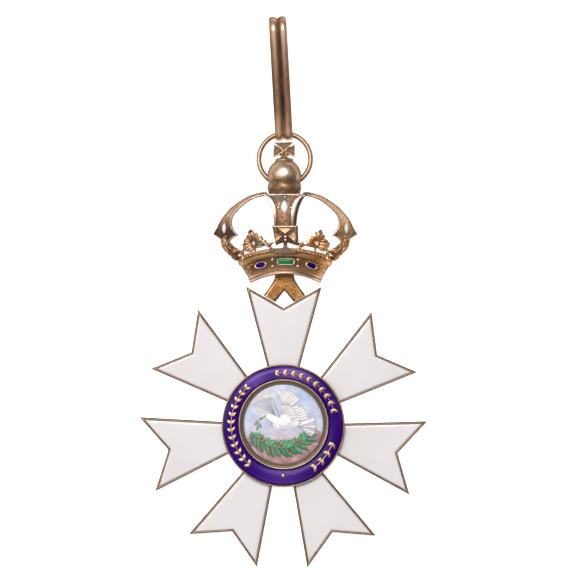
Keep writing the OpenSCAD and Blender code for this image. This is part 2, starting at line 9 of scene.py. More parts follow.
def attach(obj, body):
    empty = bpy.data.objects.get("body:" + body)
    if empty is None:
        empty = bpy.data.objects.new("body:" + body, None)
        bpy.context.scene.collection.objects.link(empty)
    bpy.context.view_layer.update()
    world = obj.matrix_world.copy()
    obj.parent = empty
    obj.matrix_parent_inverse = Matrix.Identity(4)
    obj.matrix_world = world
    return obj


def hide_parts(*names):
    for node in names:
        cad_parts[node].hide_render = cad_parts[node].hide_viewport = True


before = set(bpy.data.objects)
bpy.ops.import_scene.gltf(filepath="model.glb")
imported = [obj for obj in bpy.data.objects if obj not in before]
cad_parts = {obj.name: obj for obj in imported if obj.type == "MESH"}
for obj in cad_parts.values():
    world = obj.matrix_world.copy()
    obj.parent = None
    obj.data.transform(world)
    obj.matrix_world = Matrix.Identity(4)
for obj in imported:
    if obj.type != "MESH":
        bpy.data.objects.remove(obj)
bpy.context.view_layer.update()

# The badge is drawn in millimetres in the CAD's frame: the origin is the star's centre on its back,
# +Y runs to the bail and +Z is the front. A piece becomes metres as its mesh is made.
MM = 0.001


# Colour and shading


def tint(red, green, blue):
    """A colour given as screen values from 0 to 255, for a shader."""
    parts = [v / 255 for v in (red, green, blue)]
    return tuple(v / 12.92 if v < 0.04045 else ((v + 0.055) / 1.055) ** 2.4 for v in parts) + (1.0,)


def feed(tree, node, inputs):
    """Gives a node's inputs their values, or joins them to the sockets that are given in place of values."""
    for name, value in inputs.items():
        if isinstance(value, bpy.types.NodeSocket):
            tree.links.new(value, node.inputs[name])
        else:
            node.inputs[name].default_value = value


def add(tree, kind, inputs=None, **settings):
    node = tree.nodes.new(kind)
    for name, value in settings.items():
        setattr(node, name, value)
    feed(tree, node, inputs or {})
    return node


def blend(tree, amount, first, second, way="MIX"):
    node = add(tree, "ShaderNodeMix", {0: amount, 6: first, 7: second}, data_type="RGBA", blend_type=way)
    return node.outputs[2]


def spread(tree, value, low, high, to_low, to_high):
    """A value between low and high, moved to lie between to_low and to_high."""
    node = add(tree, "ShaderNodeMapRange", {
        "Value": value, "From Min": low, "From Max": high, "To Min": to_low, "To Max": to_high})
    return node.outputs["Result"]


def product(tree, first, second, way="MULTIPLY"):
    return add(tree, "ShaderNodeMath", {0: first, 1: second}, operation=way, use_clamp=True).outputs[0]


def marked(tree, name, kind="Fac"):
    """What the mesh says at each point under this name."""
    return add(tree, "ShaderNodeAttribute", attribute_name=name).outputs[kind]


def noise_value(tree, place, scale, detail, roughness=0.55, stretch=None):
    """Noise of so many waves a metre."""
    if stretch:
        place = add(tree, "ShaderNodeMapping", {"Vector": place, "Scale": stretch}).outputs[0]
    node = add(tree, "ShaderNodeTexNoise", {
        "Vector": place, "Scale": scale, "Detail": detail, "Roughness": roughness})
    return node.outputs["Fac"]


def new_finish(name):
    finish = bpy.data.materials.new(name)
    finish.use_nodes = True
    tree = finish.node_tree
    tree.nodes.clear()
    shader = add(tree, "ShaderNodeBsdfPrincipled")
    add(tree, "ShaderNodeOutputMaterial", {0: shader.outputs[0]})
    return finish, tree, shader, add(tree, "ShaderNodeTexCoord").outputs["Object"]


def bumps(tree, shader, *layers):
    """Bump layers, each a height, its strength and its depth in millimetres."""
    below = {}
    for height, strength, depth in layers:
        inputs = {"Height": height, "Strength": strength, "Distance": depth * MM}
        below = {"Normal": add(tree, "ShaderNodeBump", inputs | below).outputs[0]}
    feed(tree, shader, below)


def gilding(name, body, warm, pale, dark, rough, grain, mottle, tarnish=None, golden=None):
    """Old gilt metal: mottled body, pale where the mesh marks a ridge (painted highlight and wear), and
    dark, duller and less metallic where it marks darkening (painted shade and dirt). golden is the body's
    colour towards the right."""
    finish, tree, shader, place = new_finish(name)
    hollow = marked(tree, "hollow")
    cloud = noise_value(tree, place, 320, 5, 0.65)
    speck = noise_value(tree, place, 1900, 4, 0.65)
    pit = noise_value(tree, place, 3600, 3, 0.6)
    scratch = noise_value(tree, place, 900, 2, 0.5, (1.0, 5.0, 2.0))
    colour = blend(tree, spread(tree, cloud, 0.4, 0.6, 0, 1), tint(*body), tint(*warm))
    if golden:
        x = add(tree, "ShaderNodeSeparateXYZ", {"Vector": place}).outputs["X"]
        left = product(tree, spread(tree, x, 0.0, 0.006, 0, 0.9), spread(tree, cloud, 0.3, 0.55, 0.5, 1))
        colour = blend(tree, left, colour, tint(*golden))
    colour = blend(tree, spread(tree, speck, 0.48, 0.66, 0, mottle), colour, tint(*dark))
    colour = blend(tree, spread(tree, pit, 0.52, 0.68, 0, mottle), colour, tint(*pale))
    # Paler where the mesh marks a ridge: painted highlight and wear
    highlight_and_wear = product(tree, marked(tree, "ridge"), spread(tree, speck, 0.32, 0.56, 0.45, 1))
    colour = blend(tree, highlight_and_wear, colour, tint(*pale))
    # Darker, duller and less metallic where the mesh marks darkening: painted shade and dirt
    shade_and_dirt_mix = product(tree, hollow, spread(tree, cloud, 0.3, 0.6, 0.8, 1))
    colour = blend(tree, shade_and_dirt_mix, colour, tint(*dark))
    dull = product(tree, spread(tree, cloud, 0.3, 0.7, *rough), product(tree, hollow, 0.25), "ADD")
    metal = spread(tree, shade_and_dirt_mix, 0, 1, 1, 0.6)
    if tarnish:
        eaten = spread(tree, noise_value(tree, place, 700, 5, 0.65), 0.4, 0.58, 0.15, 1)
        patch = product(tree, marked(tree, "tarnish"), eaten)
        colour = blend(tree, patch, colour, tint(*tarnish))
        metal = product(tree, metal, spread(tree, patch, 0, 1, 1, 0.35))
        dull = product(tree, dull, product(tree, patch, 0.22), "ADD")
    feed(tree, shader, {"Base Color": colour, "Metallic": metal, "Roughness": dull})
    bumps(tree, shader, (speck, grain, 0.06), (pit, grain * 0.6, 0.03), (scratch, 0.1, 0.03))
    return finish


PAINTED_HIGHLIGHT_TINT = (158, 116, 220)


def glossy_enamel(name, colour, edge, rough, wave, clouding, coat=1.0, gloss=0.5):
    """Fired enamel: glossy, faintly uneven, with a slow change of colour. It is darker at a rim, a painted
    shade, and paler where a painted highlight is marked."""
    finish, tree, shader, place = new_finish(name)
    cloud = noise_value(tree, place, 90, 3, 0.5)
    fine = noise_value(tree, place, 900, 3, 0.5)
    slow = noise_value(tree, place, 220, 2, 0.4)
    body = blend(tree, spread(tree, cloud, 0.35, 0.65, 0, clouding), tint(*colour), tint(*edge))
    # Painted shade along the rim, then a painted highlight where one is marked
    body = blend(tree, marked(tree, "rim"), body, tint(*edge))
    body = blend(tree, marked(tree, "milk"), body, tint(*PAINTED_HIGHLIGHT_TINT))
    feed(tree, shader, {
        "Base Color": body, "Roughness": spread(tree, fine, 0.3, 0.7, rough, rough + 0.05),
        "Specular IOR Level": gloss, "Coat Weight": coat, "Coat Roughness": 0.04})
    bumps(tree, shader, (slow, wave, 0.06), (fine, 0.05, 0.02))
    return finish


gilt = gilding(
    "gilt", (136, 92, 50), (168, 118, 64), (228, 182, 128), (66, 42, 26), (0.32, 0.48), 0.4, 0.6)
cross_gilt = gilding(
    "cross_gilt", (148, 114, 78), (178, 144, 104), (248, 226, 192), (54, 38, 24), (0.26, 0.38), 0.2, 0.4)
frame_gilt = gilding(
    "frame_gilt", (126, 96, 72), (152, 117, 88), (212, 176, 146), (44, 32, 25), (0.3, 0.45), 0.15, 0.3)
bezel_gilt = gilding(
    "bezel_gilt", (150, 128, 98), (172, 148, 114), (244, 222, 190), (62, 50, 42), (0.28, 0.42), 0.12, 0.15)
rose_gilt = gilding(
    "rose_gilt", (150, 106, 74), (190, 146, 102), (250, 216, 184), (50, 35, 28), (0.34, 0.5), 0.6, 0.75,
    tarnish=(78, 96, 94), golden=(212, 164, 108))
strip_rose = gilding(
    "strip_rose", (128, 94, 66), (180, 136, 100), (240, 206, 180), (42, 31, 27), (0.36, 0.5), 0.6, 0.75,
    tarnish=(72, 92, 92))
border_rose = gilding(
    "border_rose", (184, 156, 142), (198, 170, 154), (244, 226, 214), (78, 60, 52), (0.34, 0.44), 0.2, 0.2)
band_gilt = gilding(
    "band_gilt", (96, 63, 33), (144, 94, 46), (224, 176, 122), (42, 32, 27), (0.32, 0.48), 0.9, 0.9,
    tarnish=(78, 92, 88), golden=(206, 140, 68))
leaf_gilt = gilding(
    "leaf_gilt", (124, 86, 52), (164, 118, 72), (240, 200, 160), (48, 33, 24), (0.32, 0.46), 0.5, 0.5,
    tarnish=(84, 96, 84), golden=(204, 142, 86))
dark_copper = gilding(
    "dark_copper", (104, 72, 48), (146, 104, 68), (208, 162, 118), (36, 26, 21), (0.34, 0.5), 0.6, 0.6,
    tarnish=(84, 96, 84), golden=(168, 118, 72))
band_rose = gilding(
    "band_rose", (178, 134, 104), (194, 148, 112), (248, 218, 194), (74, 52, 40), (0.3, 0.44), 0.3, 0.4,
    tarnish=(96, 104, 96), golden=(190, 140, 90))
pale_rose = gilding(
    "pale_rose", (232, 200, 180), (240, 208, 184), (255, 242, 230), (120, 88, 72), (0.28, 0.4), 0.15, 0.12)
orb_gilt = gilding(
    "orb_gilt", (146, 110, 80), (174, 132, 94), (255, 240, 226), (54, 36, 25), (0.36, 0.44), 0.06, 0.35,
    tarnish=(82, 66, 31))
ring_gilt = gilding(
    "ring_gilt", (148, 119, 95), (160, 129, 103), (246, 222, 196), (84, 58, 42), (0.34, 0.42), 0.05, 0.1)
bail_gilt = gilding(
    "bail_gilt", (162, 124, 94), (188, 144, 106), (255, 228, 204), (52, 32, 22), (0.35, 0.43), 0.04, 0.2)
sprig_gilt = gilding(
    "sprig_gilt", (204, 168, 124), (216, 182, 138), (252, 230, 196), (120, 92, 60), (0.3, 0.4), 0.15, 0.25)
white_enamel = glossy_enamel("white_enamel", (226, 224, 226), (186, 174, 164), 0.12, 0.25, 0.12)
violet_enamel = glossy_enamel("violet_enamel", (48, 0, 116), (34, 0, 78), 0.24, 0.2, 0.4, 0.0, 0.14)
green_enamel = glossy_enamel("green_enamel", (0, 124, 64), (0, 76, 40), 0.2, 0.3, 0.9, 0.0, 0.25)
blue_enamel = glossy_enamel("blue_enamel", (30, 0, 104), (8, 0, 44), 0.24, 0.3, 0.7, 0.0, 0.04)
milk_stone = glossy_enamel("milk_stone", (236, 232, 230), (196, 190, 186), 0.16, 0.3, 0.8)


def painted_finish():
    finish, tree, shader, place = new_finish("painted_enamel")
    paint = marked(tree, "paint", "Color")
    wash = noise_value(tree, place, 800, 4, 0.6)
    veil = blend(tree, spread(tree, wash, 0.35, 0.65, 0, 1), tint(196, 196, 206), tint(250, 250, 255))
    feed(tree, shader, {
        "Base Color": blend(tree, 0.45, paint, veil, "MULTIPLY"), "Roughness": 0.3,
        "Specular IOR Level": 0.3, "Coat Weight": 0.2, "Coat Roughness": 0.12})
    bumps(tree, shader, (wash, 0.08, 0.02))
    return finish


painted_enamel = painted_finish()


# Shapes: each is its points, an array in millimetres, and its faces


def unit(v):
    return v / np.linalg.norm(v)


def full_turn(steps):
    return np.linspace(0, 2 * math.pi, steps, endpoint=False)


def rows_shape(rows, ring=False, closed=True, caps=True):
    """Skin through rows of points. ring joins the last row to the first, closed each row's ends."""
    rows = np.asarray(rows, float)
    count, width, _ = rows.shape
    faces = []
    for j in range(count if ring else count - 1):
        a = j * width
        b = (j + 1) % count * width
        for i in range(width if closed else width - 1):
            k = (i + 1) % width
            faces.append((a + i, a + k, b + k, b + i))
    if caps and not ring:
        faces.append(tuple(range(width))[::-1])
        faces.append(tuple(range((count - 1) * width, count * width)))
    return rows.reshape(-1, 3), faces


def skirted(rows, z):
    """A sheet of rows with a skirt down to height z and a floor, and which points its border has."""
    points, faces = rows_shape(rows, closed=False, caps=False)
    count, width = len(rows), len(rows[0])
    last = (count - 1) * width
    border = [*range(width), *range(2 * width - 1, count * width, width)]
    border += [*range(last + width - 2, last - 1, -1), *range(last - width, 0, -width)]
    start = len(points)
    skirt = points[border].copy()
    skirt[:, 2] = z
    n = len(border)
    for i in range(n):
        k = (i + 1) % n
        faces.append((border[i], border[k], start + k, start + i))
    faces.append(tuple(range(start, start + n)))
    return (np.concatenate([points, skirt]), faces), border


def joined(shapes):
    points = []
    faces = []
    start = 0
    for p, f in shapes:
        points.append(p)
        faces.extend(tuple(i + start for i in face) for face in f)
        start += len(p)
    return np.concatenate(points), faces


def placed(shape, matrix):
    points, faces = shape
    m = np.array(matrix)
    return points @ m[:3, :3].T + m[:3, 3], faces


def mirrored(shape):
    points, faces = shape
    return points * np.array([-1, 1, 1]), [face[::-1] for face in faces]


def both_sides(shapes):
    return shapes + [mirrored(s) for s in shapes]


def turned_shape(outline, steps):
    """A closed outline of (radius, height) turned about the Z axis."""
    return rows_shape([[(r * math.cos(a), r * math.sin(a), z) for r, z in outline]
                       for a in full_turn(steps)], ring=True)


def ball(place, radius, squash=(1, 1, 1)):
    rows = []
    for t in np.linspace(0, math.pi, 13)[1:-1]:
        rows.append([
            (radius * math.sin(t) * math.cos(a), radius * math.sin(t) * math.sin(a), -radius * math.cos(t))
            for a in full_turn(20)])
    points, faces = rows_shape(rows)
    return points * np.array(squash) + np.array(place, float), faces


def rounded_end(end, inner):
    """Ever smaller stops past an end stop, away from its neighbour."""
    out = unit(end[:3] - inner[:3])
    return [np.append(end[:3] + out * end[3] * math.sin(a), end[3] * math.cos(a))
            for a in np.radians([22, 50, 80])]


def spindle(stops, sides=14, flat=1.0):
    """A round body through stops of (x, y, z, radius) with rounded ends."""
    stops = [np.array(s, float) for s in stops]
    path = rounded_end(stops[0], stops[1])[::-1] + smooth_rows(stops, 4) + rounded_end(stops[-1], stops[-2])
    rows = []
    for j, stop in enumerate(path):
        along = unit(path[min(j + 1, len(path) - 1)][:3] - path[max(j - 1, 0)][:3])
        side = np.cross([0, 0, 1.0], along)
        if np.linalg.norm(side) < 0.1:
            side = np.cross([0, 1.0, 0], along)
        side = unit(side)
        up = np.cross(along, side)
        rows.append([
            stop[:3] + stop[3] * (math.cos(a) * side + flat * math.sin(a) * up) for a in full_turn(sides)])
    return rows_shape(rows)


def between(rows, j, t):
    """A smooth value between row j and the next."""
    a, b, c, d = (np.asarray(rows[min(max(k, 0), len(rows) - 1)], float) for k in (j - 1, j, j + 1, j + 2))
    bend = (2 * a - 5 * b + 4 * c - d) * t ** 2 + (3 * b - a - 3 * c + d) * t ** 3
    return 0.5 * (2 * b + (c - a) * t + bend)


def smooth_rows(rows, steps):
    out = [between(rows, j, k / steps) for j in range(len(rows) - 1) for k in range(steps)]
    return out + [np.asarray(rows[-1], float)]


def denser(loop, step, counts=None):
    """A closed loop of points with each side cut into short pieces."""
    loop = np.asarray(loop, float)
    ahead = np.roll(loop, -1, axis=0) - loop
    if counts is None:
        counts = [max(1, round(np.linalg.norm(side) / step)) for side in ahead]
    return np.array([p + side * k / n for p, side, n in zip(loop, ahead, counts) for k in range(n)]), counts


def inset_loop(loop, w):
    """A counter-clockwise loop moved inwards by w."""
    loop = np.asarray(loop, float)
    out = []
    for i, p in enumerate(loop):
        a = unit(p - loop[i - 1])
        b = unit(loop[(i + 1) % len(loop)] - p)
        m = np.array([-a[1] - b[1], a[0] + b[0]])
        out.append(p + m * (w / max(0.35, (m @ m) / 2)))
    return np.array(out)


def level(loop, z):
    """A loop of (x, y) at one height."""
    return np.column_stack([loop, np.full(len(loop), z)])


def stepped(outline, steps):
    """A solid over an outline, in steps of (how far the outline is moved inwards, height)."""
    return rows_shape([level(inset_loop(outline, w), z) for w, z in steps])


# Pieces

# How dark the painted shade on the flanks of the metal grows
FLANK_SHADE = 0.8


def write_values(mesh, **marks):
    """Writes a value at each point of a mesh under each name."""
    for name, values in marks.items():
        layer = mesh.attributes.get(name) or mesh.attributes.new(name, "FLOAT", "POINT")
        layer.data.foreach_set("value", np.asarray(values, np.float32))


def vectors_of(mesh, kind):
    values = np.zeros(len(mesh.vertices) * 3)
    mesh.vertices.foreach_get(kind, values)
    return values.reshape(-1, 3)


def mesh_points(mesh):
    return vectors_of(mesh, "co") / MM


def relief_marks(mesh, near, far, near_size, far_size):
    """Writes how far each point stands out from its smoothed surface: ridge where it stands out, laid on as
    painted highlight and wear, and darkening where it lies deep, laid on as painted shade and dirt. near and
    far are rounds of smoothing."""
    count = len(mesh.vertices)
    points = mesh_points(mesh)
    normals = vectors_of(mesh, "normal")
    edges = np.zeros(len(mesh.edges) * 2, int)
    mesh.edges.foreach_get("vertices", edges)
    a, b = edges.reshape(-1, 2).T
    degree = np.bincount(a, minlength=count) + np.bincount(b, minlength=count)
    smooth = points.copy()
    found = {}
    for step in range(1, far + 1):
        total = np.column_stack([
            np.bincount(a, smooth[b, k], count) + np.bincount(b, smooth[a, k], count) for k in range(3)])
        smooth = 0.4 * smooth + 0.6 * total / np.maximum(degree, 1)[:, None]
        found[step] = np.einsum("ij,ij->i", points - smooth, normals)
    close = found[near] / near_size
    wide = found[far] / far_size
    ridge = np.clip(close, 0, 1) * 0.7 + np.clip(wide, 0, 1) * 0.3
    hollow = np.clip(-close, 0, 1) * 0.4 + np.clip(-wide, 0, 1) * 0.75
    write_values(mesh, ridge=ridge, hollow=np.clip(hollow, 0, 1))


def shade_flanks(mesh):
    """Painted shade: darker on the flanks and on faces turned down, by how far each normal leans from
    straight up. Adds that to the mesh's darkening values.
    """
    dark = FLANK_SHADE * np.clip((0.62 - vectors_of(mesh, "normal")[:, 2]) / 0.5, 0, 1)
    layer = mesh.attributes.get("hollow")
    if layer:
        known = np.zeros(len(mesh.vertices), np.float32)
        layer.data.foreach_get("value", known)
        dark = np.maximum(known, dark)
    write_values(mesh, hollow=dark)


finished = []


def new_object(name, data):
    piece = bpy.data.objects.new(name, data)
    bpy.context.scene.collection.objects.link(piece)
    return piece


def settle(piece, finish, node, sharp):
    """Gives a finished piece its material, its shading and its place on the badge."""
    finished.append(piece)
    mesh = piece.data
    mesh.materials.clear()
    mesh.materials.append(finish)
    mesh.shade_smooth()
    if sharp:
        mesh.set_sharp_from_angle(angle=math.radians(sharp))
    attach(piece, "root")
    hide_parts(node)
    return piece


def mesh_of(name, shapes):
    points, faces = joined(shapes)
    mesh = bpy.data.meshes.new(name)
    mesh.from_pydata((points * MM).tolist(), [], faces)
    shell = bmesh.new()
    shell.from_mesh(mesh)
    bmesh.ops.recalc_face_normals(shell, faces=shell.faces)
    shell.to_mesh(mesh)
    shell.free()
    mesh.update()
    return mesh


def make_piece(name, shapes, finish, node, sharp=35, marks=None):
    piece = new_object(name, mesh_of(name, shapes))
    if marks:
        relief_marks(piece.data, *marks)
    return settle(piece, finish, node, sharp)


def with_modifiers(piece):
    """The piece with its modifiers worked into its mesh."""
    graph = bpy.context.evaluated_depsgraph_get()
    mesh = bpy.data.meshes.new_from_object(piece.evaluated_get(graph), depsgraph=graph)
    mesh.name = piece.name
    if piece.type == "MESH":
        piece.modifiers.clear()
        piece.data = mesh
        return piece
    name = piece.name
    bpy.data.objects.remove(piece)
    return new_object(name, mesh)


def cast_together(name, shapes, voxel, smoothing, roughness, seed):
    """Melts overlapping shapes into one cast surface. The voxel is in millimetres."""
    points, faces = joined(shapes)
    mesh = bpy.data.meshes.new(name)
    mesh.from_pydata(points.tolist(), [], faces)
    piece = new_object(name, mesh)
    melt = piece.modifiers.new("melt", "REMESH")
    melt.mode = "VOXEL"
    melt.voxel_size = voxel
    soften = piece.modifiers.new("soften", "SMOOTH")
    soften.factor = 0.5
    soften.iterations = smoothing
    mesh = with_modifiers(piece).data
    places = vectors_of(mesh, "co")
    away = vectors_of(mesh, "normal")
    for i, p in enumerate(places * 2.2 + np.array([seed, 0, 0])):
        places[i] += away[i] * roughness * (noise.noise(p) + 0.5 * noise.noise(p * 2.3))
    mesh.vertices.foreach_set("co", places.ravel())
    mesh.transform(Matrix.Scale(MM, 4))
    mesh.update()
    return piece


# Geometry Nodes that repeat a shape or sweep it along a path


def new_tree(name, sizes):
    """A Geometry Nodes tree whose inputs are a geometry, the named sizes and a finish. A size of None
    is an object."""
    tree = bpy.data.node_groups.new(name, "GeometryNodeTree")
    tree.interface.new_socket("Geometry", in_out="INPUT", socket_type="NodeSocketGeometry")
    for label, value in sizes.items():
        kind = {float: "Float", int: "Int", type(None): "Object"}[type(value)]
        socket = tree.interface.new_socket(label, in_out="INPUT", socket_type="NodeSocket" + kind)
        if value is not None:
            socket.default_value = value
    tree.interface.new_socket("Finish", in_out="INPUT", socket_type="NodeSocketMaterial")
    tree.interface.new_socket("Geometry", in_out="OUTPUT", socket_type="NodeSocketGeometry")
    return tree, add(tree, "NodeGroupInput").outputs


def finish_tree(tree, start, geometry):
    """Ends a tree: real mesh, smooth, in its finish."""
    real = add(tree, "GeometryNodeRealizeInstances", {"Geometry": geometry})
    smooth = add(tree, "GeometryNodeSetShadeSmooth", {"Geometry": real.outputs[0]})
    coat = add(tree, "GeometryNodeSetMaterial", {"Geometry": smooth.outputs[0], "Material": start["Finish"]})
    add(tree, "NodeGroupOutput", {"Geometry": coat.outputs[0]})
    return tree


def swept(tree, path, radius, sides, caps=True):
    """A round wire along a path."""
    circle = add(tree, "GeometryNodeCurvePrimitiveCircle", {"Resolution": sides, "Radius": radius})
    wire = add(tree, "GeometryNodeCurveToMesh", {
        "Curve": path, "Profile Curve": circle.outputs[0], "Fill Caps": caps})
    return wire.outputs[0]


def wire_tree():
    tree, start = new_tree("wire_along_an_edge", {"Wire radius": 0.0001, "Sides": 10})
    return finish_tree(tree, start, swept(tree, start["Geometry"], start["Wire radius"], start["Sides"]))


def ring_tree():
    tree, start = new_tree("wire_ring", {"Ring radius": 0.005, "Wire radius": 0.0005})
    hoop = add(tree, "GeometryNodeCurvePrimitiveCircle", {"Resolution": 192, "Radius": start["Ring radius"]})
    return finish_tree(tree, start, swept(tree, hoop.outputs[0], start["Wire radius"], 32, False))


def bead_tree():
    tree, start = new_tree("beads_on_points", {"Bead radius": 0.0003})
    points = add(tree, "GeometryNodeMeshToPoints", {"Mesh": start["Geometry"]})
    grain = add(tree, "GeometryNodeMeshUVSphere", {
        "Segments": 20, "Rings": 12, "Radius": start["Bead radius"]})
    size = add(tree, "GeometryNodeInputNamedAttribute", {"Name": "size"}, data_type="FLOAT")
    beads = add(tree, "GeometryNodeInstanceOnPoints", {
        "Points": points.outputs[0], "Instance": grain.outputs[0], "Scale": size.outputs[0]})
    return finish_tree(tree, start, beads.outputs[0])


def sprig_tree():
    """Pairs of leaves at even steps along a stem."""
    tree, start = new_tree("leaves_along_a_stem", {
        "Leaf": None, "Leaf step": 0.0016, "Leaf turn": 0.7, "Stem radius": 0.00008})
    leaf = add(tree, "GeometryNodeObjectInfo", {"Object": start["Leaf"]})
    steps = add(tree, "GeometryNodeCurveToPoints", {
        "Curve": start["Geometry"], "Length": start["Leaf step"]}, mode="LENGTH")
    aim = add(tree, "FunctionNodeAlignRotationToVector", {"Vector": steps.outputs["Tangent"]}, axis="X")
    together = add(tree, "GeometryNodeJoinGeometry", {
        0: swept(tree, start["Geometry"], start["Stem radius"], 8)})
    for side in (1.0, -1.0):
        angle = add(tree, "ShaderNodeMath", {0: start["Leaf turn"], 1: side}, operation="MULTIPLY")
        turn = add(tree, "ShaderNodeCombineXYZ", {"Z": angle.outputs[0]})
        rotate = add(tree, "FunctionNodeEulerToRotation", {0: turn.outputs[0]})
        final = add(tree, "FunctionNodeRotateRotation", {
            "Rotation": aim.outputs[0], "Rotate By": rotate.outputs[0]}, rotation_space="LOCAL")
        leaves = add(tree, "GeometryNodeInstanceOnPoints", {
            "Points": steps.outputs["Points"], "Instance": leaf.outputs["Geometry"],
            "Rotation": final.outputs[0]})
        feed(tree, together, {0: leaves.outputs[0]})
    return finish_tree(tree, start, together.outputs[0])


def by_tree(name, data, tree, values, node, sharp=0):
    """A piece that a Geometry Nodes tree makes from data, turned into a plain mesh."""
    maker = new_object(name, data)
    layout = maker.modifiers.new("layout", "NODES")
    layout.node_group = tree
    labels = {s.name: s.identifier for s in tree.interface.items_tree if s.in_out == "INPUT"}
    for label, value in values.items():
        layout[labels[label]] = value
    return settle(with_modifiers(maker), values["Finish"], node, sharp)


def line_data(name, lines):
    """Curve data through lines of points in millimetres."""
    data = bpy.data.curves.new(name, "CURVE")
    data.dimensions = "3D"
    for line in lines:
        spline = data.splines.new("POLY")
        spline.points.add(len(line) - 1)
        for point, place in zip(spline.points, line):
            point.co = (*(float(v) * MM for v in place), 1.0)
    return data


def point_data(name, beads):
    """Mesh points of (x, y, z, size) in millimetres."""
    data = bpy.data.meshes.new(name)
    beads = np.asarray(beads, float)
    data.from_pydata((beads[:, :3] * MM).tolist(), [], [])
    write_values(data, size=beads[:, 3])
    return data


# Star

TIP_R = 30.1
NOTCH_R = 24.6
ARM_ROOT_R = 9.0
ARM_HALF = math.radians(15.1)
ARM_DIRECTIONS = [0.2, 53.0, 103.5, 155.2, 205.8, 258.1, 308.5]
STAR_T = 2.2
RIM_W = 0.36
CELL_FLOOR = 1.0
SEAT = 2.24
ENAMEL_IN = 12.7
ARM_X = math.sin(ARM_HALF)
ARM_Y = math.cos(ARM_HALF)
NOTCH_SIDE = unit(np.array([TIP_R * ARM_X, TIP_R * ARM_Y - NOTCH_R]))


def arm_outline(w):
    """An arm's outline moved inwards by w, counter-clockwise: inner end, point, notch, point, inner end."""
    u = NOTCH_SIDE
    y = (u[0] * NOTCH_R - w - u[1] * w / ARM_Y) / (u[0] - u[1] * ARM_X / ARM_Y)
    x = (y * ARM_X - w) / ARM_Y
    low_y = ARM_ROOT_R * ARM_Y
    low_x = (low_y * ARM_X - w) / ARM_Y
    return np.array([[low_x, low_y], [x, y], [0, NOTCH_R - w / u[0]], [-x, y], [-low_x, low_y]])


def around(shape, degrees):
    return placed(shape, Matrix.Rotation(-math.radians(degrees), 4, "Z"))


def star_frame_piece():
    section = [
        (0.8, 0.25), (0.76, 0.06), (0.7, 0.03), (0.1, 0.03), (0, 0.08), (-0.03, 0.16), (-0.06, 0.9),
        (-0.06, 1.7), (-0.02, 1.86), (0.06, 2.02), (0.13, 2.14), (0.18, 2.19), (0.24, 2.2), (0.3, 2.18),
        (0.34, 2.12), (0.36, 2.0), (0.36, CELL_FLOOR)]
    _, counts = denser(arm_outline(0), 0.9)
    arm = rows_shape([level(denser(arm_outline(w), 0.9, counts)[0], z) for w, z in section])
    hub = [(0.001, 0), (12.45, 0), (12.6, 0.05), (12.72, 0.2), (12.75, 0.35), (12.75, 2.0), (12.6, 2.17),
           (0.001, 2.17)]
    shapes = [around(arm, d) for d in ARM_DIRECTIONS] + [turned_shape(hub, 128)]
    piece = make_piece("star_frame_metal", shapes, frame_gilt, "star_frame", 50)
    # Painted shade on the frame's flanks and below, none on top; a painted highlight and wear on the rims'
    # crests
    height = mesh_points(piece.data)[:, 2]
    write_values(
        piece.data, hollow=np.interp(height, [0, 0.1, 1.9, 2.12, 2.18], [0.3, 0.5, 1, 0.9, 0]),
        ridge=np.interp(height, [2.15, 2.2], [0, 0.4]))


def enamel_arm_piece(index):
    w = RIM_W + 0.012
    slope = NOTCH_SIDE[1] / NOTCH_SIDE[0]
    notch = NOTCH_R - w / NOTCH_SIDE[0]

    def spaced(n):
        """Steps from -1 to 1, closer together at both ends."""
        t = np.linspace(-1, 1, n)
        return np.sign(t) * (1 - (1 - np.abs(t)) ** 1.6)

    rows = []
    edge = []
    for s in (spaced(81) + 1) / 2:
        row = []
        for t in spaced(49):
            out = (notch - abs(t) * w / ARM_Y * slope) / (1 - abs(t) * ARM_X / ARM_Y * slope)
            y = ENAMEL_IN
            for _ in range(4):
                y = math.sqrt(ENAMEL_IN ** 2 - (t * (y * ARM_X - w) / ARM_Y) ** 2)
            y = y + (out - y) * s
            half = (y * ARM_X - w) / ARM_Y
            x = t * half
            d = min((half - abs(x)) * ARM_Y, (out - y) * NOTCH_SIDE[0])
            edge.append(d)
            dome = min(STAR_T + 0.1 - x * x / 180, STAR_T + 0.06)
            uneven = 0.022 * noise.noise(Vector((x * 0.35 + index * 7.3, y * 0.35, 1.0)))
            row.append((x, y, dome + uneven - 0.16 * math.exp(-(d / 0.16) ** 1.4)))
        rows.append(row)
    shape, border = skirted(rows, CELL_FLOOR + 0.1)
    name = "enamel_arm_%d" % (index + 1)
    piece = make_piece(
        name + "_fired", [around(shape, ARM_DIRECTIONS[index])], white_enamel, name, 50)
    # Painted shade along the enamel's edges by the rims, and over its skirt
    rim = np.exp(-(np.array(edge) / 0.17) ** 2)
    write_values(piece.data, rim=0.8 * np.append(rim, np.ones(len(border))))


# Medallion

BLUE_IN = 9.45
BLUE_OUT = 12.52
BLUE_RISE = 0.42
BLUE_MID = (BLUE_IN + BLUE_OUT) / 2
BLUE_HALF = (BLUE_OUT - BLUE_IN) / 2
BLUE_BEND = (BLUE_HALF ** 2 + BLUE_RISE ** 2) / (2 * BLUE_RISE)
INNER_SHIFT = np.array([0.05, 0.33])


def set_high(piece):
    """The bezel and the picture sit a little above the medallion's middle. Its rim stays in place."""
    points = vectors_of(piece.data, "co")
    inside = BLUE_OUT * MM - np.hypot(points[:, 0], points[:, 1])
    share = np.clip(inside / (2 * BLUE_HALF * MM), 0, 1)
    points[:, :2] += np.outer(share, INNER_SHIFT * MM)
    piece.data.vertices.foreach_set("co", points.ravel())
    piece.data.update()


def blue_height(r):
    """Height of the blue ring's domed top."""
    return SEAT + 0.85 + BLUE_RISE - BLUE_BEND + math.sqrt(BLUE_BEND ** 2 - (r - BLUE_MID) ** 2)


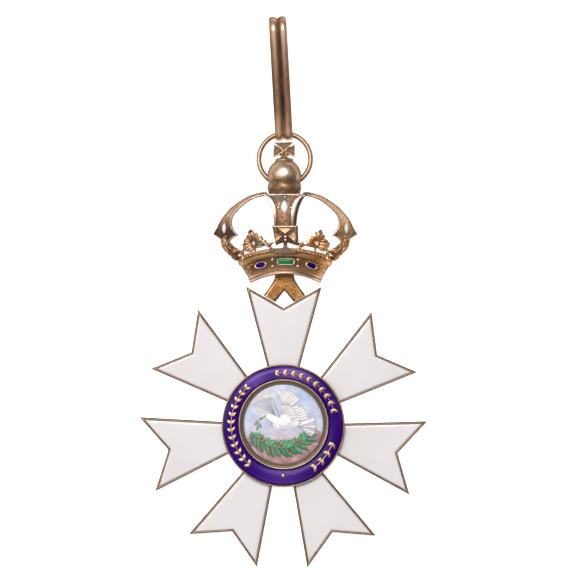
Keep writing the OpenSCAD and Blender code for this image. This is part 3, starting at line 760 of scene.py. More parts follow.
def medallion_frame_piece():
    outline = [
        (0.001, 0), (12.8, 0), (12.88, 0.05), (12.9, 0.15), (12.9, 0.78), (12.88, 0.88), (12.82, 0.95),
        (12.74, 0.99), (12.66, 0.98), (12.6, 0.93), (12.56, 0.8), (12.55, 0.45), (9.42, 0.45),
        (9.41, 1.3), (9.4, 1.43), (9.37, 1.5), (9.3, 1.54), (9.23, 1.51), (9.17, 1.45), (9.11, 1.42),
        (8.97, 1.39), (8.77, 1.31), (8.68, 1.28), (8.62, 1.31), (8.55, 1.34), (8.47, 1.33), (8.41, 1.27),
        (8.37, 1.17), (8.35, 0.7), (0.001, 0.7)]
    outline = [(r, z + SEAT) for r, z in outline]
    piece = make_piece(
        "medallion_bezel", [turned_shape(outline, 288)], bezel_gilt, "medallion_frame", 60)
    x, y, z = mesh_points(piece.data).T
    radius = np.hypot(x, y)
    # Painted shade in the cove inside the bezel and on its outer flank, and a painted highlight and wear
    # along its crest
    dark = np.interp(radius, [8.35, 8.41, 8.6, 8.68, 9.0, 9.15, 9.22], [0.9, 0.4, 0.9, 0.85, 0.7, 0.9, 0.1])
    dark = np.where(radius > 12.85, np.interp(z - SEAT, [0, 0.7, 0.9], [0.9, 0.7, 0.1]), dark)
    write_values(piece.data, hollow=dark, ridge=np.interp(z - SEAT, [1.4, 1.46], [0, 0.7]))
    set_high(piece)


def blue_ring_piece():
    radii = np.linspace(BLUE_OUT - 0.01, BLUE_IN + 0.01, 25)
    outline = [(radii[0], SEAT + 0.5), *[(r, blue_height(r)) for r in radii], (radii[-1], SEAT + 0.5)]
    piece = make_piece(
        "blue_ring_fired", [turned_shape(outline, 256)], violet_enamel, "blue_enamel", 60)
    x, y, _ = mesh_points(piece.data).T
    # Painted shade along both edges of the ring; painted highlights across the top and a weak one at the
    # bottom
    edge = BLUE_HALF - np.abs(np.hypot(x, y) - BLUE_MID)
    turn = np.degrees(np.arctan2(x, y))
    pale = 0.3 * np.exp(-((turn + 33) / 14) ** 2) + 0.34 * np.exp(-((turn - 12) / 22) ** 2)
    pale += 0.1 * np.exp(-((180 - np.abs(turn)) / 22) ** 2)
    write_values(
        piece.data, rim=0.7 * np.exp(-(edge / 0.2) ** 2), milk=pale * np.clip(edge / 0.6, 0, 1))
    set_high(piece)


SPRIG_R = 10.97
DOT_R = 10.65


def leaf_for_sprigs():
    """One raised pointed leaf with a groove along its middle, its stalk at the origin."""
    length, width, rise = 1.16, 0.3, 0.1
    rows = []
    for s in np.linspace(0.02, 0.98, 13):
        half = width * math.sin(math.pi * s ** 0.85)
        row = []
        for t in np.linspace(-1, 1, 9):
            z = rise * math.sin(math.pi * min(s * 1.05, 1)) ** 0.5 * (1 - t * t) ** 0.6
            z -= 0.035 * math.exp(-(t / 0.22) ** 2)
            drop = (s * length * 0.62) ** 2 / (2 * BLUE_BEND)
            row.append((s * length, t * half, z - drop + 0.01))
        rows.append(row)
    points, faces = rows_shape(rows, closed=False, caps=False)
    mesh = bpy.data.meshes.new("sprig_leaf")
    mesh.from_pydata((points * MM).tolist(), [], faces)
    leaf = new_object("sprig_leaf", mesh)
    thick = leaf.modifiers.new("thick", "SOLIDIFY")
    thick.thickness = 0.05 * MM
    thick.offset = -1
    return with_modifiers(leaf)


def sprig_pieces():
    leaf = leaf_for_sprigs()
    tree = sprig_tree()
    for name, first, last in (("sprig_left", -140, -46), ("sprig_top", -9, 72), ("sprig_right", 110, 142)):
        line = [(SPRIG_R * math.sin(a), SPRIG_R * math.cos(a), blue_height(SPRIG_R) + 0.02)
                for a in np.linspace(math.radians(first), math.radians(last), 60)]
        set_high(by_tree(name + "_gilt", line_data(name + "_stem", [line]), tree, {
            "Leaf": leaf, "Leaf step": 1.62 * MM, "Leaf turn": math.radians(42),
            "Stem radius": 0.085 * MM, "Finish": sprig_gilt}, name, 40))
    bpy.data.objects.remove(leaf)
    dot = ball((-0.05, -DOT_R, blue_height(DOT_R) - 0.02), 0.36, (1, 1, 0.45))
    set_high(make_piece("ring_dot_gilt", [dot], sprig_gilt, "ring_dot"))


# The painted scene: a white bird with a sprig of berries over a green branch and rosy clouds


def paint_scene(u, v):
    """The colour of each point of the disc, where u and v run from -1 to 1."""
    colour = np.zeros((len(u), 3))

    def wave(scale, seed):
        return np.array([noise.noise(Vector((a * scale + seed, b * scale, seed))) for a, b in zip(u, v)])

    def lay(tone, cover):
        cover = np.clip(cover, 0, 1)[:, None]
        colour[:] = colour * (1 - cover) + np.array(tint(*tone)[:3]) * cover

    def soft(distance, blur=0.012):
        return 0.5 - distance / (2 * blur)

    def dot(x, y, r, blur=0.012):
        return soft(np.hypot(u - x, v - y) - r, blur)

    def oval(x, y, a, b, turn=0):
        c, s = math.cos(math.radians(turn)), math.sin(math.radians(turn))
        p = ((u - x) * c + (v - y) * s) / a
        q = (-(u - x) * s + (v - y) * c) / b
        return (np.hypot(p, q) - 1) * min(a, b)

    def stroke(path, width, end_width=None):
        best = np.full(len(u), 9.0)
        path = np.array(path, float)
        end_width = width if end_width is None else end_width
        for i in range(len(path) - 1):
            a, b = path[i], path[i + 1]
            t = np.clip(((u - a[0]) * (b - a)[0] + (v - a[1]) * (b - a)[1]) / ((b - a) @ (b - a)), 0, 1)
            w = width + (end_width - width) * (i + t) / (len(path) - 1)
            best = np.minimum(best, np.hypot(u - a[0] - t * (b - a)[0], v - a[1] - t * (b - a)[1]) - w)
        return best

    def bow(*stops):
        return smooth_rows([np.array(s, float) for s in stops], 6)

    def puff(x, y, r, tone, shade, light=(220, 184, 180)):
        """A round of cloud, lit from above."""
        edge = np.hypot(u - x, (v - y) * 1.25) - r * (1 + 0.22 * ripple)
        lit = np.hypot(u - x + 0.012, (v - y - 0.16 * r) * 1.25) - 0.86 * r * (1 + 0.2 * ripple)
        lay(shade, soft(edge, 0.035) * 0.9)
        lay(tone, soft(lit, 0.07))
        lay(light, soft(np.hypot(u - x + 0.03, (v - y - 0.42 * r) * 1.5) - 0.42 * r, 0.12) * 0.75)

    def feather(path, width, end_width, tone):
        shape = stroke(path, width, end_width)
        lay(line, soft(shape - 0.008, 0.014))
        lay(tone, soft(shape))
        lay(quill, soft(stroke(path, 0.002), 0.011) * 0.7)

    def leaf(x, y, size, turn, tone):
        c, s = math.cos(math.radians(turn)), math.sin(math.radians(turn))
        x, y = x + c * size * 0.5, y + s * size * 0.5
        lay((36, 66, 46), soft(oval(x, y, size * 0.56, size * 0.23, turn)))
        lay(tone, soft(oval(x, y + 0.006, size * 0.5, size * 0.17, turn)))
        shine = oval(x - 0.05 * s * size, y + 0.07 * size, size * 0.3, size * 0.05, turn)
        lay((156, 208, 164), soft(shine, 0.02) * 0.7)
        tip = [(x - c * size * 0.5, y - s * size * 0.5), (x + c * size * 0.46, y + s * size * 0.46)]
        lay((40, 84, 56), soft(stroke(tip, 0.003), 0.011) * 0.8)

    line = (112, 76, 66)
    quill = (190, 178, 186)
    white = (250, 249, 249)
    shade = (206, 210, 226)
    ripple = wave(7.5, 4.4)
    cloud = wave(2.6, 3.1)
    sky = np.clip((v + 0.5) / 1.5, 0, 1)[:, None]
    colour[:] = np.array(tint(210, 210, 228)[:3]) * (1 - sky) + np.array(tint(176, 196, 228)[:3]) * sky
    lay((222, 228, 240), np.clip(cloud * 1.6 + 0.1, 0, 0.6) * (v > -0.6))
    lay((218, 188, 188), soft(v + 0.3 + 0.16 * cloud, 0.25) * 0.9)
    rosy = (182, 134, 134)
    mauve = (104, 74, 96)
    for x, y, r in ((-0.72, -0.42, 0.2), (0.78, -0.32, 0.2), (0.56, -0.46, 0.2), (-0.5, -0.56, 0.22),
                    (0.2, -0.6, 0.24), (-0.12, -0.66, 0.22), (0.66, -0.62, 0.2), (0.42, -0.76, 0.24),
                    (-0.36, -0.8, 0.24), (0.04, -0.86, 0.24), (0.3, -0.96, 0.2), (-0.16, -1.0, 0.18)):
        puff(x, y, r, rosy, mauve)
    # A low sun with its rays
    sun = np.hypot(u + 0.46, v - 0.56)
    ray = np.cos(np.arctan2(v - 0.56, u + 0.46) * 14) * 0.5 + 0.5
    lay((252, 226, 178), np.exp(-(sun / 0.24) ** 2) * (0.6 + 0.3 * ray))
    lay((255, 200, 136), soft(sun - 0.075, 0.035))
    # The garland: a sagging stem thick with leaves, and berries
    stem = bow((-0.8, -0.22), (-0.55, -0.47), (-0.2, -0.6), (0.15, -0.6), (0.48, -0.47), (0.7, -0.22))
    lay((38, 78, 54), soft(stroke(stem, 0.018, 0.014)))
    greens = [(70, 148, 112), (92, 168, 124), (60, 132, 98), (112, 182, 132)]
    for k in range(30):
        t = 0.02 + 0.95 * k / 29
        j = min(int(t * (len(stem) - 1)), len(stem) - 2)
        along = math.degrees(math.atan2(*(stem[j + 1] - stem[j])[::-1]))
        size = 0.17 + 0.08 * math.sin(math.pi * t) + 0.015 * (k * 7 % 3)
        lean = (1 if k % 2 else -1) * (44 + k * 5 % 17)
        leaf(stem[j][0], stem[j][1], size, along + lean, greens[k * 3 % 4])
    leaf(stem[-1][0], stem[-1][1], 0.15, 58, greens[1])
    berries = [(-0.56, -0.36), (-0.5, -0.42), (-0.16, -0.5), (-0.08, -0.53), (0.32, -0.46), (0.39, -0.42),
               (0.12, -0.68), (-0.34, -0.64)]
    for x, y in berries:
        lay((96, 22, 28), dot(x, y, 0.038))
        lay((198, 44, 50), dot(x, y, 0.028))
        lay((250, 176, 166), dot(x - 0.01, y + 0.01, 0.008))
    # The bird: far wing, tail, body, near wing, head
    for k in range(7):
        a = math.radians(150 - k * 10)
        tip = (-0.3 + math.cos(a) * (0.46 - 0.02 * k), 0.32 + math.sin(a) * (0.36 - 0.01 * k))
        feather(bow((-0.1, 0.08), (-0.24, 0.3 + 0.02 * k), tip), 0.042, 0.028, shade)
    for k in range(6):
        a = math.radians(-34 + k * 11)
        tip = (0.3 + math.cos(a) * 0.47, -0.03 + math.sin(a) * 0.4)
        feather(bow((0.26, 0.0), (0.42, -0.05 + 0.012 * k), tip), 0.03, 0.05, white if k % 2 else shade)
    body = oval(0.06, 0.02, 0.34, 0.145, 6)
    neck = stroke(bow((-0.12, 0.06), (-0.26, 0.14), (-0.37, 0.19)), 0.105, 0.075)
    lay(line, soft(np.minimum(body, neck) - 0.009, 0.014))
    lay(white, soft(np.minimum(body, neck)))
    lay(shade, soft(oval(0.06, -0.075, 0.27, 0.05, 6), 0.03) * 0.9)
    for k in range(6):
        scale = np.abs(oval(-0.24 + 0.09 * k, 0.02 + 0.006 * k, 0.05, 0.07, 10))
        lay(quill, soft(scale - 0.003, 0.01) * (v < 0.03) * 0.6)
    for k in range(6):
        a = math.radians(8 + k * 10)
        tip = (0.1 + math.cos(a) * 0.5, 0.1 + math.sin(a) * 0.42)
        feather(bow((0.03 * k, 0.07), (0.22, 0.12 + 0.05 * k), tip), 0.045, 0.034, white)
    for k in range(8):
        a = math.radians(118 - k * 10)
        tip = (0.1 + math.cos(a) * (0.46 - 0.012 * abs(k - 2)), 0.36 + math.sin(a) * (0.52 - 0.02 * k))
        feather(bow((0.0, 0.1), (0.07, 0.36), tip), 0.046, 0.03, white)
    for k in range(9):
        a = math.radians(110 - k * 14)
        feather([(0.03, 0.16), (0.06 + math.cos(a) * 0.23, 0.2 + math.sin(a) * 0.26)], 0.036, 0.03, white)
    lay(white, soft(oval(0.03, 0.12, 0.14, 0.13, 60), 0.03))
    lay(line, dot(-0.395, 0.205, 0.087, 0.014))
    lay(white, dot(-0.395, 0.205, 0.078))
    lay(white, dot(-0.34, 0.18, 0.07, 0.02))
    lay((204, 124, 66), soft(stroke([(-0.46, 0.2), (-0.55, 0.16)], 0.022, 0.005)))
    lay((40, 28, 28), dot(-0.415, 0.222, 0.012))
    lay((70, 100, 66), soft(stroke(bow((-0.53, 0.16), (-0.62, 0.08), (-0.64, -0.05)), 0.007)))
    for x, y, turn in ((-0.6, 0.12, 30), (-0.63, 0.04, 200), (-0.64, -0.02, 330), (-0.64, -0.05, 250)):
        leaf(x, y, 0.1, turn, greens[1])
    for x, y in ((-0.7, 0.0), (-0.58, 0.0), (-0.68, 0.08)):
        lay((196, 40, 48), dot(x, y, 0.024))
    # The disc darkens a little towards its bezel
    lay((150, 140, 170), np.clip((np.hypot(u, v) - 0.93) / 0.07, 0, 1) * 0.55)
    return colour


def picture_piece():
    radius = 8.32
    line = np.linspace(-1, 1, 223)
    a, b = np.meshgrid(line, line)
    size = np.maximum(np.abs(a), np.abs(b))
    # The grid is square in the middle and round at its rim
    keep = size ** 3
    scale = size / np.maximum(np.hypot(a, b), 1e-9) * keep + (1 - keep)
    x = a * scale
    y = b * scale
    rim = np.hypot(x, y)
    z = SEAT + 1.2 + 0.42 * (1 - rim ** 2) - 0.05 * rim ** 40
    shape, border = skirted(np.dstack([x * radius, y * radius, z]), SEAT + 0.78)
    piece = make_piece("painted_picture", [shape], painted_enamel, "picture", 60)
    x, y = x.ravel(), y.ravel()
    colour = paint_scene(np.append(x, x[border]), np.append(y, y[border]))
    layer = piece.data.attributes.new("paint", "FLOAT_COLOR", "POINT")
    tones = np.column_stack([colour, np.ones(len(colour))])
    layer.data.foreach_set("color", tones.astype(np.float32).ravel())
    set_high(piece)


# Link

CROWN_PLACE = (0.4, 32.14, 0)


def link_piece():
    def notch_line(x):
        return NOTCH_R + (TIP_R * ARM_Y - NOTCH_R) * abs(x) / (TIP_R * ARM_X)

    def leg(w):
        return np.array([
            [-0.4, 28.9 + w], [1.95 + w, notch_line(2.2 + w) + 0.12], [4.4 - w, notch_line(4.65 - w) + 0.12],
            [3.35 - w, 28.75], [2.75 - w, 29.65], [2.2 - w, 30.5], [2.0 - w, 31.15], [-0.4, 31.15]])

    leg_steps = ((0.18, 0.35), (0, 0.5), (0, 1.45), (0.12, 1.7), (0.28, 1.88), (0.5, 1.95))
    right = rows_shape([level(leg(w), z) for w, z in leg_steps])
    top = CROWN_PLACE[1] - 0.04
    block = rows_shape([
        [(s * (2.0 - w), y, z) for s, y in ((-1, 28.75), (1, 28.75), (1, top - w), (-1, top - w))]
        for w, z in ((0.15, 0.35), (0, 0.5), (0, 1.65), (0.08, 1.85), (0.25, 1.95))])
    shapes = [placed(s, Matrix.Translation((0.25, 0, 0))) for s in both_sides([right]) + [block]]
    piece = cast_together("link_cast", shapes, 0.07, 5, 0.006, 4.0)
    relief_marks(piece.data, 6, 30, 0.02, 0.08)
    # Painted shade on the bevelled edges below the top face, in place of the relief's darkening
    height = mesh_points(piece.data)[:, 2]
    write_values(piece.data, hollow=np.interp(height, [1.6, 1.84, 1.93], [1, 0.75, 0]))
    settle(piece, gilt, "link", 0)


# Crown: drawn about the middle of its band's lower edge

CROWN = Matrix.Translation(CROWN_PLACE)
BAND_TOP_W = 9.8
BAND_BOTTOM_W = 7.15
BAND_TOP_D = 5.9
BAND_BOTTOM_D = 5.2
BAND_H = 4.25
BAND_Z = 0.6
SHELL_W = 10.9


def lerp(a, b, t):
    return a + (b - a) * t


def turned(degrees, axis):
    return Matrix.Rotation(math.radians(degrees), 4, axis)


def band_size(v):
    """The band's half width and its depth at a share v of its height."""
    return lerp(BAND_BOTTOM_W, BAND_TOP_W, v), lerp(BAND_BOTTOM_D, BAND_TOP_D, v)


def band_top(x):
    """The band's upper edge, which sinks towards its ends."""
    return BAND_H - x * x / 47.4


def band_point(phi, v, out=0.0):
    """A point of the band, at an angle from its front and a share v of its height, so far out of it."""
    w, d = band_size(v)
    x = (w + out) * math.sin(phi)
    y = lerp(-0.25 - x * x / 28, band_top(x), v)
    return np.array([x, y, BAND_Z + (d + out) * math.cos(phi)])


def on_band(x, v, turn=0.0):
    """Where something stands on the band: its own Z points out of the band."""
    w, d = band_size(v)
    phi = math.asin(x / w)
    yaw = math.atan2(math.sin(phi) / w, math.cos(phi) / d)
    return Matrix.Translation(band_point(phi, v)) @ Matrix.Rotation(yaw, 4, "Y") @ turned(turn, "Z")


def shell_z(x):
    """Height of the crown's rounded body over the band, at x."""
    return BAND_Z + BAND_TOP_D * math.sqrt(max(0.0, 1 - (x / SHELL_W) ** 2))


def shell_turn(x):
    """How far that body has turned aside at x."""
    return math.atan2(x / SHELL_W ** 2, (shell_z(x) - BAND_Z) / BAND_TOP_D ** 2)


def band_skin(section, soft=0.0):
    """A skin round the band. soft is how far from its ends, as an angle, it starts to sink and round off."""
    rows = []
    for phi in np.linspace(math.pi / 2, -math.pi / 2, 141):
        share = math.sqrt(min(1.0, (math.pi / 2 - abs(phi)) / soft + 0.02)) if soft else 1.0
        sink = 0.6 + 0.4 * share
        rows.append([
            band_point(phi, 0.12 + (v - 0.12) * sink if soft else v, out * share if out > 0 else out)
            for v, out in section])
    return rows_shape(rows)


def band_shapes():
    body = [
        (0.1, -0.9), (0.11, -0.2), (0.262, -0.03), (0.4, -0.03), (0.6, -0.03), (0.79, -0.03), (0.81, 0.0),
        (0.825, 0.1), (0.85, 0.19), (0.9, 0.24), (0.95, 0.22), (0.985, 0.16), (1.0, 0.06), (1.03, 0.03),
        (1.1, 0.04), (1.17, 0.0), (1.2, -0.12), (1.2, -0.8), (1.17, -0.9)]
    back = [[(-7.75, 0.05, z), (7.75, 0.05, z), (7.75, 1.85, z), (-7.75, 1.85, z)] for z in (0.25, 1.25)]
    return [band_skin(body), rows_shape(back)]


def band_foot_shapes():
    """Two round mouldings along the band's lower edge, with a groove between them."""
    foot = [
        (0.0, -0.85), (-0.015, -0.2), (-0.01, 0.1), (0.012, 0.3), (0.045, 0.4), (0.078, 0.36), (0.1, 0.2),
        (0.115, 0.17), (0.135, 0.14), (0.15, 0.2), (0.165, 0.3), (0.19, 0.36), (0.215, 0.3), (0.235, 0.14),
        (0.245, -0.08), (0.245, -0.85)]
    return [band_skin(foot, 0.16)]


STRIP_ROWS = [
    (16.45, 4.75, 6.75), (15.85, 4.2, 7.0), (15.2, 3.62, 7.2), (14.0, 3.08, 7.45), (12.75, 2.7, 7.6),
    (11.5, 2.5, 7.65), (10.1, 2.38, 7.6), (9.3, 2.36, 7.5)]

# What the points of the strip's section say: (darkening, ridge). The darkening is painted shade and dirt,
# most on the flanks.
STRIP_MARKS = [
    (hollow, 0) for hollow in (1, 1, 1, 0.95, 0.8, 0.9, 0.7, 0.4, 0.3, 0.4, 0.7, 0.9, 0.6, 0.8, 1, 1)]


def strip_shape():
    """The front strip's panel and flanks. Its right flank leans out and shows from the front."""
    rows = []
    for y, w, z in smooth_rows(STRIP_ROWS, 8):
        r = w - 0.6
        rows.append([(x, y, z - d) for x, d in (
            (w - 0.1, 1.7), (w, 1.5), (w, 1.25), (r + 0.2, 0.5), (r, 0.26), (r - 0.6, 0.3),
            (r - 0.8, 0.3), (0.5 * w, 0.27), (0, 0.24), (-0.5 * w, 0.27), (-w + 0.8, 0.3), (-w + 0.6, 0.3),
            (-w, 0.26), (-w, 0.5), (-w, 1.5), (-w + 0.1, 1.7))])
    return rows_shape(rows)


def strip_border_shapes():
    """A broad rounded moulding along each side of the front strip, narrower towards the cross."""
    shapes = []
    for side in (-1, 1):
        rows = []
        for y, w, z in smooth_rows(STRIP_ROWS, 8):
            broad = lerp(0.6, 1.08, min(max((y - 10.5) / 3.5, 0), 1))
            edge = -w if side < 0 else w - 0.6
            row = []
            for a in full_turn(22):
                rise = 0.15 * math.copysign(abs(math.sin(a)) ** 0.7, math.sin(a))
                row.append((edge - side * broad / 2 * (1 - math.cos(a)), y, z - 0.12 + rise))
            rows.append(row)
        shapes.append(rows_shape(rows))
    return shapes


# Side arch: [outer edge x, y, z, inner edge x, y, z], down to the spike's tips and then to its neck
SPIKE_TIPS = (15.2, 8.1, 0.7, 9.75, 7.8, 4.6)
ARCH_ROWS = [
    (3.75, 16.75, 5.0, 3.55, 16.0, 5.9), (4.9, 16.85, 4.5, 4.5, 16.0, 5.7),
    (7.4, 16.2, 3.5, 6.78, 15.32, 5.5), (9.5, 15.05, 2.7, 8.56, 14.2, 5.2),
    (11.3, 13.75, 2.0, 9.96, 12.95, 5.0),
    (12.46, 12.5, 1.6, 10.8, 11.95, 4.8), (13.4, 11.35, 1.3, 11.15, 10.9, 4.7),
    (14.0, 10.3, 1.1, 11.1, 9.85, 4.6), (14.5, 9.25, 1.0, 10.65, 8.85, 4.6), SPIKE_TIPS]
SPIKE_ROWS = [
    SPIKE_TIPS, (13.95, 7.3, 1.2, 11.05, 7.15, 4.1), (13.4, 6.5, 1.4, 11.7, 6.4, 3.5),
    (13.3, 5.6, 1.6, 11.5, 5.7, 3.2)]


def arch_frames():
    """The side arch's rows, smooth down to the spike's tips and smooth again below them. Each row is the
    outer edge, the inner edge, the inner edge of the broad face, and the way out of the metal."""
    rows = smooth_rows(ARCH_ROWS, 8) + smooth_rows(SPIKE_ROWS, 8)[1:]
    frames = []
    for i, row in enumerate(rows):
        o, q = row[:3], row[3:]
        ahead = rows[min(i + 1, len(rows) - 1)]
        behind = rows[max(i - 1, 0)]
        along = unit((ahead[:3] + ahead[3:] - behind[:3] - behind[3:]) / 2)
        inward = unit((q - o) * (1, 1, 0))
        f = q - inward * min(0.3, 0.4 * np.hypot(*(q - o)[:2]))
        frames.append((o, q, f, unit(np.cross(unit(q - o), along))))
    return frames


# What the points of an arch's section say: (darkening, ridge). The darkening is painted shade and dirt, most
# on the flank and the back; the ridge is painted highlight and wear on the two raised edges.
ARCH_MARKS = [
    (1, 0), (1, 0), (0.7, 0), (0.25, 0.6), (0, 0.9), (0.5, 0), (0.25, 0), (0.1, 0), (0, 0), (0.1, 0),
    (0.25, 0), (0.6, 0), (0, 0.9), (0, 1), (0.6, 0), (0.5, 0), (0.8, 0), (1, 0)]


def arch_shape():
    """An arch: a broad face with a fine raised edge on each side, and a flank that shows inside it."""
    down = np.array([0, 0, 1.0])
    out = []
    for o, q, f, n in arch_frames():
        back = unit(n * (0.35, 0.35, 1))
        w = f - o
        e = 0.09 / np.linalg.norm(w)
        out.append([
            o - 0.9 * back, o - 0.5 * back, o - 0.16 * n, o - 0.03 * n, o + e * w,
            o + 2.2 * e * w - 0.07 * n, o + 0.25 * w - 0.04 * n, o + 0.4 * w - 0.01 * n, o + 0.5 * w,
            o + 0.6 * w - 0.01 * n,
            o + 0.75 * w - 0.04 * n, f - 2.2 * e * w - 0.07 * n, f - 1.1 * e * w + 0.02 * n, f,
            f - 0.16 * down, (f + q) / 2 - 0.45 * down, q - 0.8 * down, q - 1.1 * down])
    out = np.array(out)
    out[:, :, 2] = np.maximum(out[:, :, 2], 0.05)
    return rows_shape(out)


def arch_edges():
    """The lines that an arch's two raised edges follow."""
    frames = arch_frames()
    outer = [o + 0.07 * unit(f - o) - 0.04 * n for o, _, f, n in frames]
    inner = [f - 0.06 * unit(f - o) - 0.02 * n for o, _, f, n in frames]
    return outer, inner


CROSS_OUTLINE = [
    (2.5, 4.0), (1.9, 4.62), (0.8, 4.9), (0.4, 5.5), (0.5, 6.3), (2.3, 5.65), (2.2, 9.75), (-2.75, 9.75),
    (-1.95, 5.6), (-0.45, 6.3), (-0.3, 5.5), (-0.75, 4.95), (-1.9, 4.7), (-2.5, 4.0)]
CROSS_MID = (-0.1, 7.6)
CROSS_FRONT = 7.75


def wedge(points):
    """A triangular arm of the cross: a flat plate with a bevelled edge."""
    points = np.array(points, float)
    if np.cross(points[1] - points[0], points[2] - points[0]) < 0:
        points = points[::-1]
    return stepped(points, (
        (0, CROSS_FRONT - 0.8), (0, CROSS_FRONT - 0.16), (0.12, CROSS_FRONT), (0.26, CROSS_FRONT - 0.05)))


def centre_cross_shapes():
    outline = np.array(CROSS_OUTLINE)
    back = outline.copy()
    back[:, 0] += np.where(outline[:, 0] > 1.95, 0.5, 0)
    plate = rows_shape([
        level(back, CROSS_FRONT - 1.6), level(outline, CROSS_FRONT - 0.42),
        level(inset_loop(outline, 0.06), CROSS_FRONT - 0.36)])
    mx, my = CROSS_MID
    arms = [
        [(-2.15, 9.4), (1.75, 9.4), (mx, my + 0.35)],
        [(2.22, 9.05), (2.24, 6.1), (mx + 0.45, my)],
        [(-2.6, 9.05), (-2.1, 6.05), (mx - 0.45, my)],
        [(-1.7, 5.75), (-0.75, 6.3), (mx - 0.2, my - 0.45)],
        [(1.9, 5.8), (0.85, 6.3), (mx + 0.2, my - 0.45)]]
    bar = stepped([(-2.85, 9.4), (2.3, 9.4), (2.35, 9.82), (-2.9, 9.82)], (
        (0, CROSS_FRONT - 1.2), (0, CROSS_FRONT + 0.08), (0.12, CROSS_FRONT + 0.2)))
    return [plate, *[wedge(arm) for arm in arms], bar]


def leaf_lobe(root, tip, width, rise):
    """A fleshy lobe: two halves side by side that part at the root and meet in the tip."""
    root = np.array(root, float)
    tip = np.array(tip, float)
    along = unit(tip - root)
    side = np.array([along[1], -along[0]])
    length = np.linalg.norm(tip - root)
    shapes = []
    for s in (-1, 1):
        stops = []
        for t, off, r, z in ((0.0, 0.35, 0.6, -0.1), (0.3, 0.55, 0.85, 0.1), (0.6, 0.55, 0.9, 0.22),
                             (0.82, 0.34, 0.66, 0.12), (0.93, 0.08, 0.44, -0.04)):
            place = root + along * length * t + side * s * off * width
            stops.append((*place, z * rise * 0.5 / 0.22, max(0.12, r * width)))
        shapes.append(spindle(stops, flat=0.85))
    return shapes


LEFT_LEAF_X = -6.53
RIGHT_LEAF_X = 6.69
# Leaf ornament beside the cross: each lobe's root and tip from the bead, half its width and its rise
LEFT_LOBES = [
    ((-0.05, 0.35), (-0.86, 2.95), 0.56, 0.5), ((0.2, 0.6), (0.66, 2.25), 0.36, 0.3),
    ((-0.5, 0.7), (-1.72, 1.62), 0.36, 0.25), ((0.45, 0.45), (2.0, 1.3), 0.48, 0.5),
    ((0.5, 0.1), (2.85, 0.5), 0.42, 0.35), ((0.45, -0.25), (2.15, -0.42), 0.42, 0.5),
    ((-0.55, 0.25), (-2.38, 0.55), 0.42, 0.4), ((-0.55, -0.05), (-2.7, -0.38), 0.42, 0.3),
    ((-0.5, -0.35), (-2.4, -1.4), 0.52, 0.5), ((-0.3, -0.6), (-1.35, -1.62), 0.5, 0.4)]
RIGHT_LOBES = [
    ((0.1, 0.4), (0.86, 2.95), 0.48, 0.5), ((-0.1, 0.5), (-0.3, 2.4), 0.36, 0.4),
    ((0.55, 0.7), (1.8, 1.75), 0.3, 0.25), ((-0.35, 0.45), (-1.45, 1.5), 0.34, 0.3),
    ((-0.5, -0.05), (-2.4, 0.95), 0.3, 0.35), ((-0.5, -0.45), (-2.6, 0.4), 0.28, 0.4),
    ((-0.5, -0.75), (-2.3, -0.1), 0.26, 0.3), ((0.6, 0.25), (2.5, 0.55), 0.36, 0.3),
    ((0.35, -0.35), (2.65, -0.6), 0.62, 0.6), ((0.4, -0.7), (1.95, -1.3), 0.46, 0.4),
    ((1.9, 0.1), (2.9, -0.35), 0.3, 0.5)]


def leaf_ornament(lobes, x):
    shapes = [half for lobe in lobes for half in leaf_lobe(*lobe)]
    shapes.append(ball((0, 0, -0.1), 0.8, (1, 1, 0.6)))
    lean = math.copysign(shell_turn(abs(x)), x)
    place = Matrix.Translation((x, 6.1, shell_z(x) - 0.2)) @ Matrix.Rotation(lean, 4, "Y")
    return [placed(s, place) for s in shapes]


RAIL_ROWS = [
    (3.1, 5.35, 0.3), (4.3, 5.75, 0.26), (5.94, 5.4, 0.26), (7.2, 5.32, 0.28),
    (8.4, 4.9, 0.28), (9.0, 4.45, 0.3), (9.9, 4.05, 0.36), (10.6, 3.5, 0.5)]


def rail_shapes():
    shapes = [spindle([(x, y, shell_z(x) - 0.3, r) for x, y, r in RAIL_ROWS])]
    for x, half in ((6.3, 0.2), (8.85, 0.22)):
        base = band_top(x)
        z = shell_z(x) - 0.45
        shapes.append(spindle([
            (x, base + 0.3, z - 0.1, half * 1.9), (x, base + 0.9, z, half),
            (x, base + 1.6, z + 0.1, half * 1.4)]))
    # A knot of beads by the cross, on a foot that slopes down to the band
    for x, y, r in ((3.15, 5.9, 0.4), (2.62, 6.25, 0.28), (3.75, 6.2, 0.3), (3.05, 5.2, 0.3)):
        shapes.append(ball((x, y, shell_z(x) + 0.05), r))
    shapes.append(spindle([(2.35, 5.1, shell_z(2.3) - 0.15, 0.16), (3.1, 4.75, shell_z(3.1) - 0.15, 0.32),
                           (4.0, 4.35, shell_z(4.0) - 0.2, 0.42), (5.0, 4.1, shell_z(5) - 0.3, 0.3)]))
    # Beads between the leaves and the side cross
    for x, y, r in ((10.05, 4.52, 0.3), (8.85, 4.4, 0.32), (9.35, 3.95, 0.3), (8.5, 4.95, 0.24)):
        shapes.append(ball((x, y, shell_z(x) + 0.02), r))
    return shapes


SIDE_CROSS_ROWS = [
    (12.6, 6.6, 2.5, 1.0), (12.6, 5.5, 2.3, 1.3), (11.8, 4.7, 2.4, 1.35), (11.15, 3.8, 2.4, 1.1),
    (10.75, 2.9, 2.0, 0.82)]

# The side cross is slim: beyond a line through this point its width is cut by a share
SLIM_EDGE = np.array([11.2, 5.6])
SLIM_OUTWARDS = np.array([0.742, -0.67])
SLIM_CUT = 0.26


def slimmer(shape):
    points, faces = shape
    beyond = np.clip((points[:, :2] - SLIM_EDGE) @ SLIM_OUTWARDS, 0, None)
    points[:, :2] -= SLIM_CUT * np.outer(beyond, SLIM_OUTWARDS)
    return points, faces


